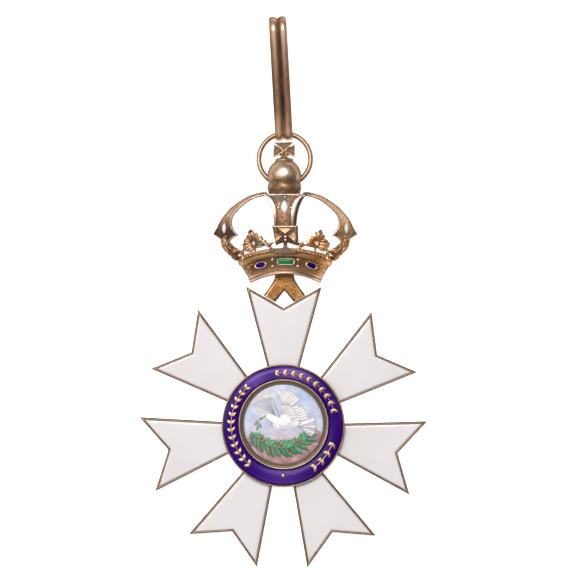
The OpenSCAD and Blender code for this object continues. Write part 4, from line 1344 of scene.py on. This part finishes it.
def side_cross_shapes():
    """The cross at each side, seen nearly edge on: a weathered body with low ribs and knobs."""
    shapes = [spindle(SIDE_CROSS_ROWS, 18)]
    shapes.append(spindle([(11.3, 5.0, 2.8, 0.6), (10.6, 4.75, 3.3, 0.6), (9.8, 4.6, 3.6, 0.36)]))
    for a, b, r in (
            ((13.6, 6.2, 2.6), (13.3, 4.9, 3.0), 0.3), ((12.9, 5.0, 3.5), (12.0, 3.8, 3.4), 0.26),
            ((12.3, 6.3, 3.5), (12.4, 5.2, 3.6), 0.26), ((12.2, 5.3, 3.65), (11.2, 4.6, 3.7), 0.22),
            ((11.7, 4.9, 3.7), (10.9, 3.6, 3.4), 0.24), ((11.3, 4.4, 3.6), (10.2, 4.1, 3.7), 0.22),
            ((11.5, 3.6, 3.3), (11.0, 2.7, 2.7), 0.24), ((10.6, 3.7, 3.3), (10.4, 2.9, 2.8), 0.2)):
        mid = [(a[k] + b[k]) / 2 for k in range(3)]
        shapes.append(spindle([(*a, r * 0.7), (mid[0], mid[1], mid[2] + 0.04, r), (*b, r * 0.6)]))
    for x, y, z, r in ((13.4, 5.6, 3.1, 0.42), (11.75, 5.5, 3.5, 0.3), (12.55, 4.7, 3.5, 0.26),
                       (11.0, 4.0, 3.5, 0.26), (10.4, 4.5, 3.7, 0.26), (13.0, 4.35, 2.9, 0.34),
                       (12.25, 3.5, 2.9, 0.32), (11.55, 2.75, 2.6, 0.28), (13.65, 6.4, 2.9, 0.3)):
        shapes.append(ball((x, y, z), r, (1, 1, 0.6)))
    return [slimmer(s) for s in shapes]


def band_flower(x, v, turn, size):
    """Low cast flower at an end of the band: petals round a bead."""
    shapes = [ball((0, 0, 0.06), 0.24 * size)]
    for a in np.radians(72 * np.arange(5) + turn):
        shapes.append(spindle([
            (r * size * math.cos(a), r * size * math.sin(a), z, thick * size)
            for r, z, thick in ((0.28, -0.05, 0.12), (0.58, -0.02, 0.2), (0.85, -0.08, 0.1))], 10, 0.7))
    return [placed(s, on_band(x, v)) for s in shapes]


def curl(x, v, turn, size, way):
    """A curled tendril of low relief on the band."""
    stops = []
    for k in range(7):
        a = math.radians(turn + way * 44 * k)
        r = size * (1 - 0.11 * k)
        stops.append((r * math.cos(a), r * math.sin(a), -0.05, 0.1 - 0.006 * k))
    return placed(spindle(stops, 10, 0.8), on_band(x, v))


def band_relief():
    shapes = []
    for s in (1, -1):
        shapes += band_flower(s * 7.6, 0.66, 20 if s > 0 else -40, 0.8)
        shapes += [curl(s * 8.25, 0.5, 90, 0.5, s), curl(s * 7.15, 0.38, 200, 0.36, -s),
                   curl(s * 7.9, 0.33, 20, 0.3, s), curl(s * 8.75, 0.72, -60, 0.3, -s)]
        for x, v, r in ((6.95, 0.7, 0.2), (7.1, 0.42, 0.2), (8.45, 0.88, 0.22), (7.75, 0.47, 0.16)):
            shapes.append(placed(ball((0, 0, 0), r), on_band(s * x, v)))
    # Engraved leaves along the ledge over the band
    for x in np.linspace(-8.6, 8.6, 27):
        if abs(x) > 1.5:
            lean = 34 if x > 0 else -34
            leaf = spindle([(-0.3, 0, -0.04, 0.1), (0, 0.02, 0.04, 0.19), (0.34, 0, -0.04, 0.07)], 10, 0.7)
            shapes.append(placed(leaf, on_band(x, 1.09, lean)))
            shapes.append(placed(leaf, on_band(x + 0.25, 0.92 if abs(x) > 5 else 1.13, -lean)))
    return shapes


def top_plate_shapes():
    plate = []
    for z, grow in ((1.2, 0), (1.4, 0.1), (6.3, 0.1), (6.6, 0)):
        plate.append([(-4.1 - grow, 15.95, z), (-3.1, 15.3, z), (3.1, 15.3, z), (4.1 + grow, 15.95, z),
                      (4.15 + grow, 16.2, z), (4.05, 16.44, z), (-4.05, 16.44, z), (-4.15 - grow, 16.2, z)])
    return [rows_shape(plate)]


def setting_ring(outline):
    """A rounded collar round a stone: outline is a closed loop of (x, y), counter-clockwise."""
    top = 0.36
    return stepped(outline, (
        (-0.27, -0.3), (-0.27, top - 0.14), (-0.22, top - 0.03), (-0.12, top + 0.02), (-0.03, top - 0.02),
        (0.0, top - 0.12), (0.0, 0.1)))


def long_loop(length, height):
    """A long stone's outline with rounded corners."""
    r = height * 0.36
    loop = []
    for cx, cy, a in ((1, -1, -90), (1, 1, 0), (-1, 1, 90), (-1, -1, 180)):
        for k in range(9):
            t = math.radians(a + k * 90 / 8)
            loop.append((cx * (length / 2 - r) + r * math.cos(t), cy * (height / 2 - r) + r * math.sin(t)))
    return np.array(loop)


def oval_loop(length, height):
    return np.array([(length / 2 * math.cos(a), height / 2 * math.sin(a)) for a in full_turn(48)])


def marquise_loop(length, width):
    bend = (length ** 2 + width ** 2) / (4 * width)
    half = math.asin(length / 2 / bend)
    loop = []
    for s in (1, -1):
        for k in range(16):
            a = -half + 2 * half * k / 16
            loop.append((s * (bend * math.cos(a) - bend + width / 2), s * bend * math.sin(a)))
    return np.array(loop)


def cabochon(outline, base, rise, shoulder):
    """A domed stone over an outline."""
    rows = [level(outline, base)]
    for t in np.linspace(0, 0.96 * math.pi / 2, 9):
        rows.append(level(outline * math.cos(t), base + shoulder + rise * math.sin(t)))
    return rows_shape(rows)


# Each stone of the band: its node, its outline, its place, its finish and its slot
STONES = [
    ("green_stone", long_loop(3.22, 1.02), on_band(0.15, 0.56), green_enamel, "green_stone"),
    ("blue_stone_left", oval_loop(2.25, 1.0), on_band(-5.05, 0.56, 11), blue_enamel, "blue_stone"),
    ("blue_stone_right", oval_loop(2.25, 1.0), on_band(5.4, 0.56, -17), blue_enamel, "blue_stone")]
# Each white stone of the arches and the strip: its node, its outline and its place
PEARLS = [
    ("pearl_front", marquise_loop(2.8, 1.4), Matrix.Translation((-0.15, 13.72, 7.3)) @ turned(-8.5, "X"))]
for s, node in ((-1, "pearl_left"), (1, "pearl_right")):
    PEARLS.append((node, marquise_loop(2.2, 1.02), Matrix.Translation((s * 12.75, 9.3, 2.72))
                   @ turned(s * 43, "Y") @ turned(s * 4, "Z")))


def stone_pieces():
    # With each stone its base, rise and shoulder, and how the painted shade at its rim fades inwards
    stones = [(*stone, (0.2, 0.14, 0.05), (0.7, 0.3)) for stone in STONES]
    stones += [(*pearl, milk_stone, "white_stone", (0.0, 0.38, 0.02), (0.5, 0.2)) for pearl in PEARLS]
    for name, outline, place, finish, slot, measures, fading in stones:
        stone = placed(cabochon(outline, *measures), CROWN @ place)
        piece = make_piece(name + "_cabochon", [stone], finish, name, 60)
        # Painted shade round the foot of the stone's dome
        write_values(piece.data, rim=np.repeat([1, 1, *fading] + [0] * 6, len(outline)))


# Round spots of verdigris in the crown's own measures: (x, y, radius x, radius y)
TARNISH_SPOTS = [
    (-0.9, 4.9, 2.4, 0.6), (-1.9, 2.5, 1.0, 1.2), (1.2, 1.3, 1.6, 0.4), (-0.3, 3.5, 2.6, 0.4),
    (0.2, 16.0, 4.4, 1.0), (-6.0, 6.6, 0.6, 0.8), (0, 15.3, 2.6, 0.6), (-4.9, 5.9, 0.9, 0.4),
    (-3.2, 4.7, 1.3, 0.5)]
# Beads on the front strip and the centre cross: (x, y, z, size)
BEAD_PLACES = [
    (-1.45, 13.5, 7.28, 1.0), (1.2, 13.6, 7.28, 1.0), (-0.1, 11.15, 7.42, 1.0), (-0.1, 15.75, 6.85, 0.9),
    (0.05, 7.5, 7.85, 1.1), (0.05, 6.8, 7.8, 1.05)]


def crown_points(piece):
    """A piece's points in the crown's own measures."""
    return (mesh_points(piece.data) - np.array(CROWN.translation)).T


def crown_piece(name, shapes, finish, sharp, marks=None):
    shapes = [placed(s, CROWN) for s in shapes]
    return make_piece("crown_" + name, shapes, finish, "crown", sharp, marks)


def tarnish_marks(piece):
    px, py, _ = crown_points(piece)
    spots = [np.exp(-(((px - x) / rx) ** 2 + ((py - y) / ry) ** 2)) for x, y, rx, ry in TARNISH_SPOTS]
    write_values(piece.data, tarnish=np.max(spots, axis=0))


def marked_skins(name, shapes, marks, finish, dark=0.0):
    """Skins whose section points carry the same darkening and ridge values all along: painted shade and
    dirt, and painted highlight and wear.
    """
    piece = crown_piece(name, shapes, finish, 40)
    x, y, _ = crown_points(piece)
    hollow, ridge = np.tile(np.array(marks).T, len(x) // len(marks))
    if dark:
        # Painted shade on the arches: more low down, stronger on the left, and towards the middle by the
        # plate
        shade = dark * np.clip((13.0 - y) / 4, 0, 1)
        shade = np.where(x < 0, shade, 0.5 * shade)
        shade = np.maximum(shade, np.clip((6.2 - np.abs(x)) / 1.5, 0, 0.8))
        hollow = np.maximum(hollow, shade * (1 - 0.7 * ridge))
    write_values(piece.data, hollow=hollow, ridge=ridge)
    tarnish_marks(piece)


def cast_piece(name, shapes, finish, voxel, roughness, depth):
    """A cast part of the crown, darker in its hollows (painted shade and dirt), with a little tarnish, and
    paler on its high places (painted highlight and wear).
    """
    cast = cast_together("crown_" + name, [placed(s, CROWN) for s in shapes], voxel, 2, roughness, 1.0)
    relief_marks(cast.data, 3, 20, 0.02, depth)
    tarnish_marks(cast)
    settle(cast, finish, "crown", 0)


def band_pieces():
    band = crown_piece("band", band_shapes(), band_gilt, 50, (2, 8, 0.03, 0.08))
    x, y, _ = crown_points(band)
    # Painted shade over the band, set by height, and lighter towards its ends, most at the right end
    share = (y + 0.25 + x ** 2 / 35) / 4.4
    shade = np.interp(
        share, [0.24, 0.3, 0.7, 0.8, 0.84, 0.9, 1.02, 1.1], [0.4, 0.65, 0.65, 0.8, 0.2, 0.1, 0.5, 0.4])
    write_values(band.data, hollow=shade * np.interp(x, [-8, -3, 3, 8], [0.8, 1, 1, 0.35]))
    tarnish_marks(band)
    crown_piece("band_foot", band_foot_shapes(), band_rose, 50, (2, 8, 0.05, 0.16))


def arch_pieces():
    marked_skins("side_arches", both_sides([arch_shape()]), ARCH_MARKS, rose_gilt, 0.95)
    marked_skins("front_strip", [strip_shape()], STRIP_MARKS, strip_rose)
    tarnish_marks(crown_piece("top_plate", top_plate_shapes(), strip_rose, 40, (2, 6, 0.03, 0.1)))
    borders = crown_piece("strip_borders", strip_border_shapes(), border_rose, 60)
    # Painted shade on the borders towards their lower and upper ends
    _, y, _ = crown_points(borders)
    write_values(borders.data, hollow=np.interp(y, [9, 11, 12.5, 15.5, 16.5], [0.75, 0.5, 0, 0, 0.4]))


def cross_piece():
    cross = crown_piece("centre_cross", centre_cross_shapes(), strip_rose, 25)
    # Painted shade on the cross's low parts between its raised arms, and a painted highlight and wear on its
    # tops
    _, y, z = crown_points(cross)
    rise = z - CROSS_FRONT
    deep = np.interp(rise, [-0.5, -0.3, -0.1], [1, 0.9, 0])
    write_values(
        cross.data, hollow=deep * np.interp(y, [5.2, 6, 9.2, 9.4], [0.5, 1, 1, 0.6]),
        ridge=np.interp(rise, [0, 0.05], [0, 0.9]))
    tarnish_marks(cross)


def edge_pieces():
    wires = wire_tree()
    finishes = (band_rose, pale_rose)
    for name, line, radius, finish in zip(("outer", "inner"), arch_edges(), (0.085, 0.1), finishes):
        lines = [[np.array(CROWN @ Vector((side * x, y, z))) for x, y, z in line] for side in (1, -1)]
        by_tree("crown_%s_edges" % name, line_data(name + "_edge_lines", lines), wires, {
            "Wire radius": radius * MM, "Sides": 10, "Finish": finish}, "crown")


def bead_piece():
    beads = list(BEAD_PLACES)
    for side in (1, -1):
        beads += [(side * 11.85, 11.95, 3.0, 0.75), (side * 12.45, 7.5, 2.7, 0.7)]
        beads += [(*on_band(side * x, v).translation, 1.1) for x, v in ((2.65, 0.7), (2.6, 0.4))]
    for x in (LEFT_LEAF_X, RIGHT_LEAF_X):
        beads += [(x, 6.25, shell_z(x) + 0.25, 1.15), (x, 5.9, shell_z(x) + 0.22, 1.1)]
    beads = [(*(CROWN @ Vector(b[:3])), b[3]) for b in beads]
    by_tree("crown_beads", point_data("bead_places", beads), bead_tree(), {
        "Bead radius": 0.32 * MM, "Finish": pale_rose}, "crown")


def crown_pieces():
    band_pieces()
    arch_pieces()
    cross_piece()
    leaves = leaf_ornament(LEFT_LOBES, LEFT_LEAF_X) + leaf_ornament(RIGHT_LOBES, RIGHT_LEAF_X)
    cast_piece("leaves", leaves + both_sides(rail_shapes()), leaf_gilt, 0.09, 0.03, 0.1)
    cast_piece("side_crosses", both_sides(side_cross_shapes()), dark_copper, 0.09, 0.04, 0.1)
    cast_piece("band_relief", band_relief(), band_gilt, 0.07, 0.03, 0.06)
    collars = [placed(setting_ring(outline), place) for _, outline, place, _, _ in STONES]
    crown_piece("settings", collars, pale_rose, 40)
    edge_pieces()
    bead_piece()


# Orb, ring and bail

ORB_PLACE = (0.21, 52.48, 3.62)
ORB_R = 3.54
ORB = Matrix.Translation(ORB_PLACE) @ turned(-90, "X")
CROSS_PLACE = (0.21, 57.68, 3.62)
RING_PLACE = Matrix.Translation((0.3, 55.98, 2.38)) @ turned(-8.2, "X")
RING_R = 5.43
RING_WIRE = 0.54
BORE_R = 0.66


def orb_piece():
    outline = [(2.66, -3.56), (2.66, -3.85), (3.2, -3.85), (3.3, -3.78), (3.33, -3.6), (3.36, -3.35),
               (3.46, -3.1), (3.54, -2.8), (3.56, -2.45), (3.52, -2.1), (3.44, -1.8), (3.33, -1.56),
               (3.26, -1.4), (3.25, -1.26), (3.29, -1.16), (3.34, -1.11)]
    outline += [(ORB_R * math.cos(a), ORB_R * math.sin(a)) for a in np.radians(np.linspace(-18, 57, 34))]
    outline += [(1.86, 3.0), (1.86, 3.1), (1.9, 3.2), (1.86, 3.42), (1.76, 3.52), (1.5, 3.6), (0.001, 3.62),
                (0.001, -3.56)]
    orb = new_object("orb_ball", mesh_of("orb_ball", [placed(turned_shape(outline, 160), ORB)]))
    bore = turned_shape([(RING_R + BORE_R * math.cos(b), BORE_R * math.sin(b)) for b in full_turn(24)], 96)
    drill = new_object("drill", mesh_of("drill", [placed(bore, RING_PLACE)]))
    hole = orb.modifiers.new("hole", "BOOLEAN")
    hole.operation = "DIFFERENCE"
    hole.solver = "EXACT"
    hole.object = drill
    with_modifiers(orb)
    bpy.data.objects.remove(drill)
    x, y, z = mesh_points(orb.data).T
    along = y - ORB_PLACE[1]
    # A painted highlight on the ball's upper front, and painted shade at the foot of the collar and where
    # the ball meets it
    orb_painted_highlight = np.exp(-((x - 0.1) / 1.5) ** 2 - ((along - 1.0) / 1.2) ** 2)
    write_values(
        orb.data, ridge=0.9 * orb_painted_highlight * (z > 3.6),
        hollow=np.interp(
            along, [-3.9, -3.2, -1.9, -1.5, -1.3, -1.1, -0.6], [0.6, 0.2, 0.1, 0.4, 0.6, 0.4, 0]),
        tarnish=np.interp(along, [-3.9, -3.3, -2.4, -1.5, -1], [1, 1, 0.75, 0.9, 0.15]))
    settle(orb, orb_gilt, "orb", 40)


def orb_cross_pieces():
    half = 2.35
    arms = [
        [(0.12, -0.3), (half, -1.48), (half - 0.05, 0.0), (half - 0.12, 1.38), (0.12, 0.26)],
        [(-0.12, 0.26), (-half + 0.12, 1.38), (-half + 0.05, 0.0), (-half, -1.48), (-0.12, -0.3)],
        [(-half + 0.12, 1.75), (-0.34, 0.05), (0.34, 0.05), (half - 0.4, 1.85), (0, 1.72)],
        [(-0.4, 0.3), (-0.44, -0.6), (-1.15, -1.85), (1.15, -1.85), (0.44, -0.6), (0.4, 0.3)]]
    steps = ((0.1, -0.45), (0, -0.35), (0, 0.3), (0.05, 0.42), (0.1, 0.45), (0.2, 0.44), (0.32, 0.24))
    place = Matrix.Translation(CROSS_PLACE)
    shapes = [placed(stepped(outline, steps), place) for outline in arms]
    cross = make_piece("orb_cross", shapes, cross_gilt, "orb", 30)
    # Painted shade on the low parts between the arms, and a painted highlight and wear on their top faces
    height = mesh_points(cross.data)[:, 2] - np.array(place.translation)[2]
    write_values(
        cross.data, hollow=np.interp(height, [0.2, 0.26, 0.4, 0.43], [1, 0.55, 0.9, 0]),
        ridge=np.interp(height, [0.42, 0.45], [0, 0.35]))
    # A plate behind the arms, wholly dark: painted shade in the slits between them
    shade_plate = stepped([(-0.9, -1.0), (0.9, -1.0), (1.3, -0.6), (1.3, 0.8), (1.0, 1.0), (-1.0, 1.0), (-1.3, 0.8),
                   (-1.3, -0.6)], ((0, -0.3), (0, 0.1)))
    shade_plate = make_piece("orb_cross_web", [placed(shade_plate, place)], cross_gilt, "orb", 30)
    write_values(shade_plate.data, hollow=np.ones(len(shade_plate.data.vertices)))


def ring_piece():
    hoop = by_tree("wire_ring_round", bpy.data.meshes.new("ring_seed"), ring_tree(), {
        "Ring radius": RING_R * MM, "Wire radius": RING_WIRE * MM, "Finish": ring_gilt}, "ring")
    place = RING_PLACE.copy()
    place.translation *= MM
    hoop.data.transform(place)
    hoop.data.update()


BAIL_T = 0.5
BAIL_LOW_R = 1.15
BAIL_HIGH_R = 2.5
BAIL_L = 21.5
BAIL_STEPS = 40
# The strap has two rounded ridges: how far each lies from its middle, its half width, how far its arc
# turns to each side, in degrees, and that angle's cosine
BAIL_RIDGE_X = 0.99
BAIL_RIDGE_HALF = 0.86
BAIL_RIDGE_TURN = 58
BAIL_RIDGE_COS = 0.5299


def bail_piece():
    taper = math.asin((BAIL_HIGH_R - BAIL_LOW_R) / BAIL_L)
    across = []
    for s in (1, -1):
        for a in np.radians(np.linspace(BAIL_RIDGE_TURN, -BAIL_RIDGE_TURN, 15)):
            x = s * BAIL_RIDGE_X + BAIL_RIDGE_HALF * math.sin(a) / math.sin(math.radians(BAIL_RIDGE_TURN))
            across.append((0.14 + 0.36 * (math.cos(a) - BAIL_RIDGE_COS) / (1 - BAIL_RIDGE_COS), x))
        if s > 0:
            across += [(0.1, 0.11), (0.08, 0.05), (0.08, 0.0), (0.08, -0.05), (0.1, -0.11)]
    section = [(0.03, -1.8), (0, -1.7), (0, -0.6), (0, 0.6), (0, 1.7), (0.03, 1.8), (0.1, 1.86)] + across
    section += [(0.1, -1.86)]

    def bend(y, r, first, last, count):
        return [np.array([(x, y + (r + out) * math.cos(a), (r + out) * math.sin(a)) for out, x in section])
                for a in np.linspace(first, last, count)]

    low = bend(0.0, BAIL_LOW_R, math.pi / 2 + taper, 3 * math.pi / 2 - taper, 29)
    high = bend(BAIL_L, BAIL_HIGH_R, -math.pi / 2 - taper, math.pi / 2 + taper, 45)
    shares = np.arange(1, BAIL_STEPS) / BAIL_STEPS
    rows = low + [lerp(low[-1], high[0], t) for t in shares]
    rows += high + [lerp(high[-1], low[0], t) for t in shares]
    place = (Matrix.Translation((0.1, 61.5, BAIL_LOW_R + BAIL_T + 0.02)) @ turned(3.2, "Z")
             @ Matrix.Rotation(taper, 4, "X"))
    shape = placed(rows_shape(rows, ring=True), place)
    piece = make_piece("bail_strap", [shape], bail_gilt, "bail", 60)

    def along_strap(back, front):
        """One value at the strap's back and its edges, and one for each place across its front."""
        return np.tile([back] * 7 + [front(x) for _, x in across] + [back], len(rows))

    # Painted shade lies along the left flank of each ridge and in the groove between them, weaker towards
    # the low end. More painted shade darkens the middle of the strap and its top bend, and a painted
    # highlight lies on the ridges' crests near the top and at the low end.
    painted_shade_x = [-1.86, -1.4, -1.0, -0.8, -0.3, -0.1, 0.0, 0.3, 0.45, 0.6, 0.8, 1.2, 1.4, 1.86]
    painted_shade_at = [0.5, 0.45, 0.12, 0.0, 0.2, 0.6, 0.9, 1.0, 0.8, 0.45, 0.3, 0.05, 0.0, 0.1]
    depth = along_strap(0.5, lambda x: np.interp(x, painted_shade_x, painted_shade_at))
    crest = along_strap(
        0, lambda x: math.exp(-((x + 0.85) / 0.4) ** 2) + math.exp(-((x - 1.1) / 0.45) ** 2))
    height = mesh_points(piece.data)[:, 1]
    share = np.interp(height, [61, 63, 66, 70, 78, 82, 85.5], [0.4, 0.6, 1, 1, 1, 0.9, 0.8])
    # More painted shade along the middle of the strap and on its top bend
    even = np.interp(
        height, [61, 64, 67, 72, 79, 83, 84.7, 85.5, 86], [0, 0.15, 0.36, 0.34, 0.18, 0, 0, 0.4, 0.8])
    # How strong the painted highlight on the crests is along the strap
    highlight_and_wear = np.interp(height, [61, 63.5, 66, 74, 80, 83, 84.7, 85.6], [0.4, 0.15, 0, 0, 0.5, 0.7, 0.4, 0.1])
    write_values(piece.data, hollow=np.clip(depth * share + even, 0, 1), ridge=crest * highlight_and_wear)


star_frame_piece()
for arm in range(7):
    enamel_arm_piece(arm)
medallion_frame_piece()
blue_ring_piece()
sprig_pieces()
picture_piece()
link_piece()
crown_pieces()
stone_pieces()
orb_piece()
orb_cross_pieces()
ring_piece()
bail_piece()

# Painted shade on the flanks of the metal pieces in these finishes
FLANK_SHADED = [
    rose_gilt, strip_rose, border_rose, band_gilt, leaf_gilt, dark_copper, band_rose, pale_rose, orb_gilt,
    ring_gilt, cross_gilt, gilt]
for piece in finished:
    if piece.data.materials[0] in FLANK_SHADED:
        shade_flanks(piece.data)


# Studio: pale floor, soft light, and a long lens straight above. Places and sizes are in metres.

CAMERA_Z = 0.9
VIEW_WIDTH = 0.12
BADGE_MIDDLE = Vector((0, 0.03, 0))


def panel(name, place, width, height, power):
    """A soft light that shines at the badge's middle."""
    light = bpy.data.lights.new(name, "AREA")
    light.shape = "RECTANGLE"
    light.size = width
    light.size_y = height
    light.energy = power
    light.color = tint(255, 252, 248)[:3]
    lamp = new_object(name, light)
    lamp.location = place
    lamp.rotation_euler = (BADGE_MIDDLE - Vector(place)).to_track_quat("-Z", "Y").to_euler()


def studio():
    finish, tree, shader, place = new_finish("pale_table")
    paper = noise_value(tree, place, 400, 4)
    tone = blend(tree, spread(tree, paper, 0.3, 0.7, 0, 1), tint(252, 252, 252), tint(248, 248, 248))
    feed(tree, shader, {
        "Base Color": tone, "Roughness": 0.9, "Specular IOR Level": 0.1, "Emission Color": (1, 1, 1, 1),
        "Emission Strength": 0.8})
    mesh = bpy.data.meshes.new("table")
    mesh.from_pydata([(-1.5, -1.5, 0), (1.5, -1.5, 0), (1.5, 1.5, 0), (-1.5, 1.5, 0)], [], [(0, 1, 2, 3)])
    mesh.materials.append(finish)
    table = new_object("table", mesh)

    # The air of a light tent: bright overhead, dim near the table, dimmer still to the right
    world = bpy.data.worlds.new("studio_air")
    bpy.context.scene.world = world
    world.use_nodes = True
    tree = world.node_tree
    way = add(tree, "ShaderNodeTexCoord").outputs["Generated"]
    parts = add(tree, "ShaderNodeSeparateXYZ", {"Vector": way}).outputs
    height = spread(tree, parts["Z"], 0.0, 0.95, 0.12, 0.36)
    side = spread(tree, parts["X"], -0.5, 0.9, 1.15, 0.55)
    strength = add(tree, "ShaderNodeMath", {0: height, 1: side}, operation="MULTIPLY").outputs[0]
    feed(tree, tree.nodes["Background"], {"Color": tint(252, 250, 252), "Strength": strength})

    panel("window_above", (-0.1, 0.3, 0.66), 0.5, 0.32, 4.4)
    panel("window_left", (-0.5, 0.12, 0.4), 0.3, 0.4, 1.0)
    panel("window_right", (0.5, 0.15, 0.45), 0.25, 0.3, 0.3)
    panel("window_below", (0.0, -0.45, 0.5), 0.4, 0.2, 0.35)

    lens = bpy.data.cameras.new("lens")
    lens.sensor_fit = "HORIZONTAL"
    lens.sensor_width = 36
    lens.lens = 36 * CAMERA_Z / VIEW_WIDTH
    lens.clip_start = 0.05
    camera = new_object("camera", lens)
    camera.location = (0.00036, 0.02953, CAMERA_Z)
    scene = bpy.context.scene
    scene.camera = camera
    scene.view_settings.view_transform = "Standard"
    scene.view_settings.look = "None"


studio()
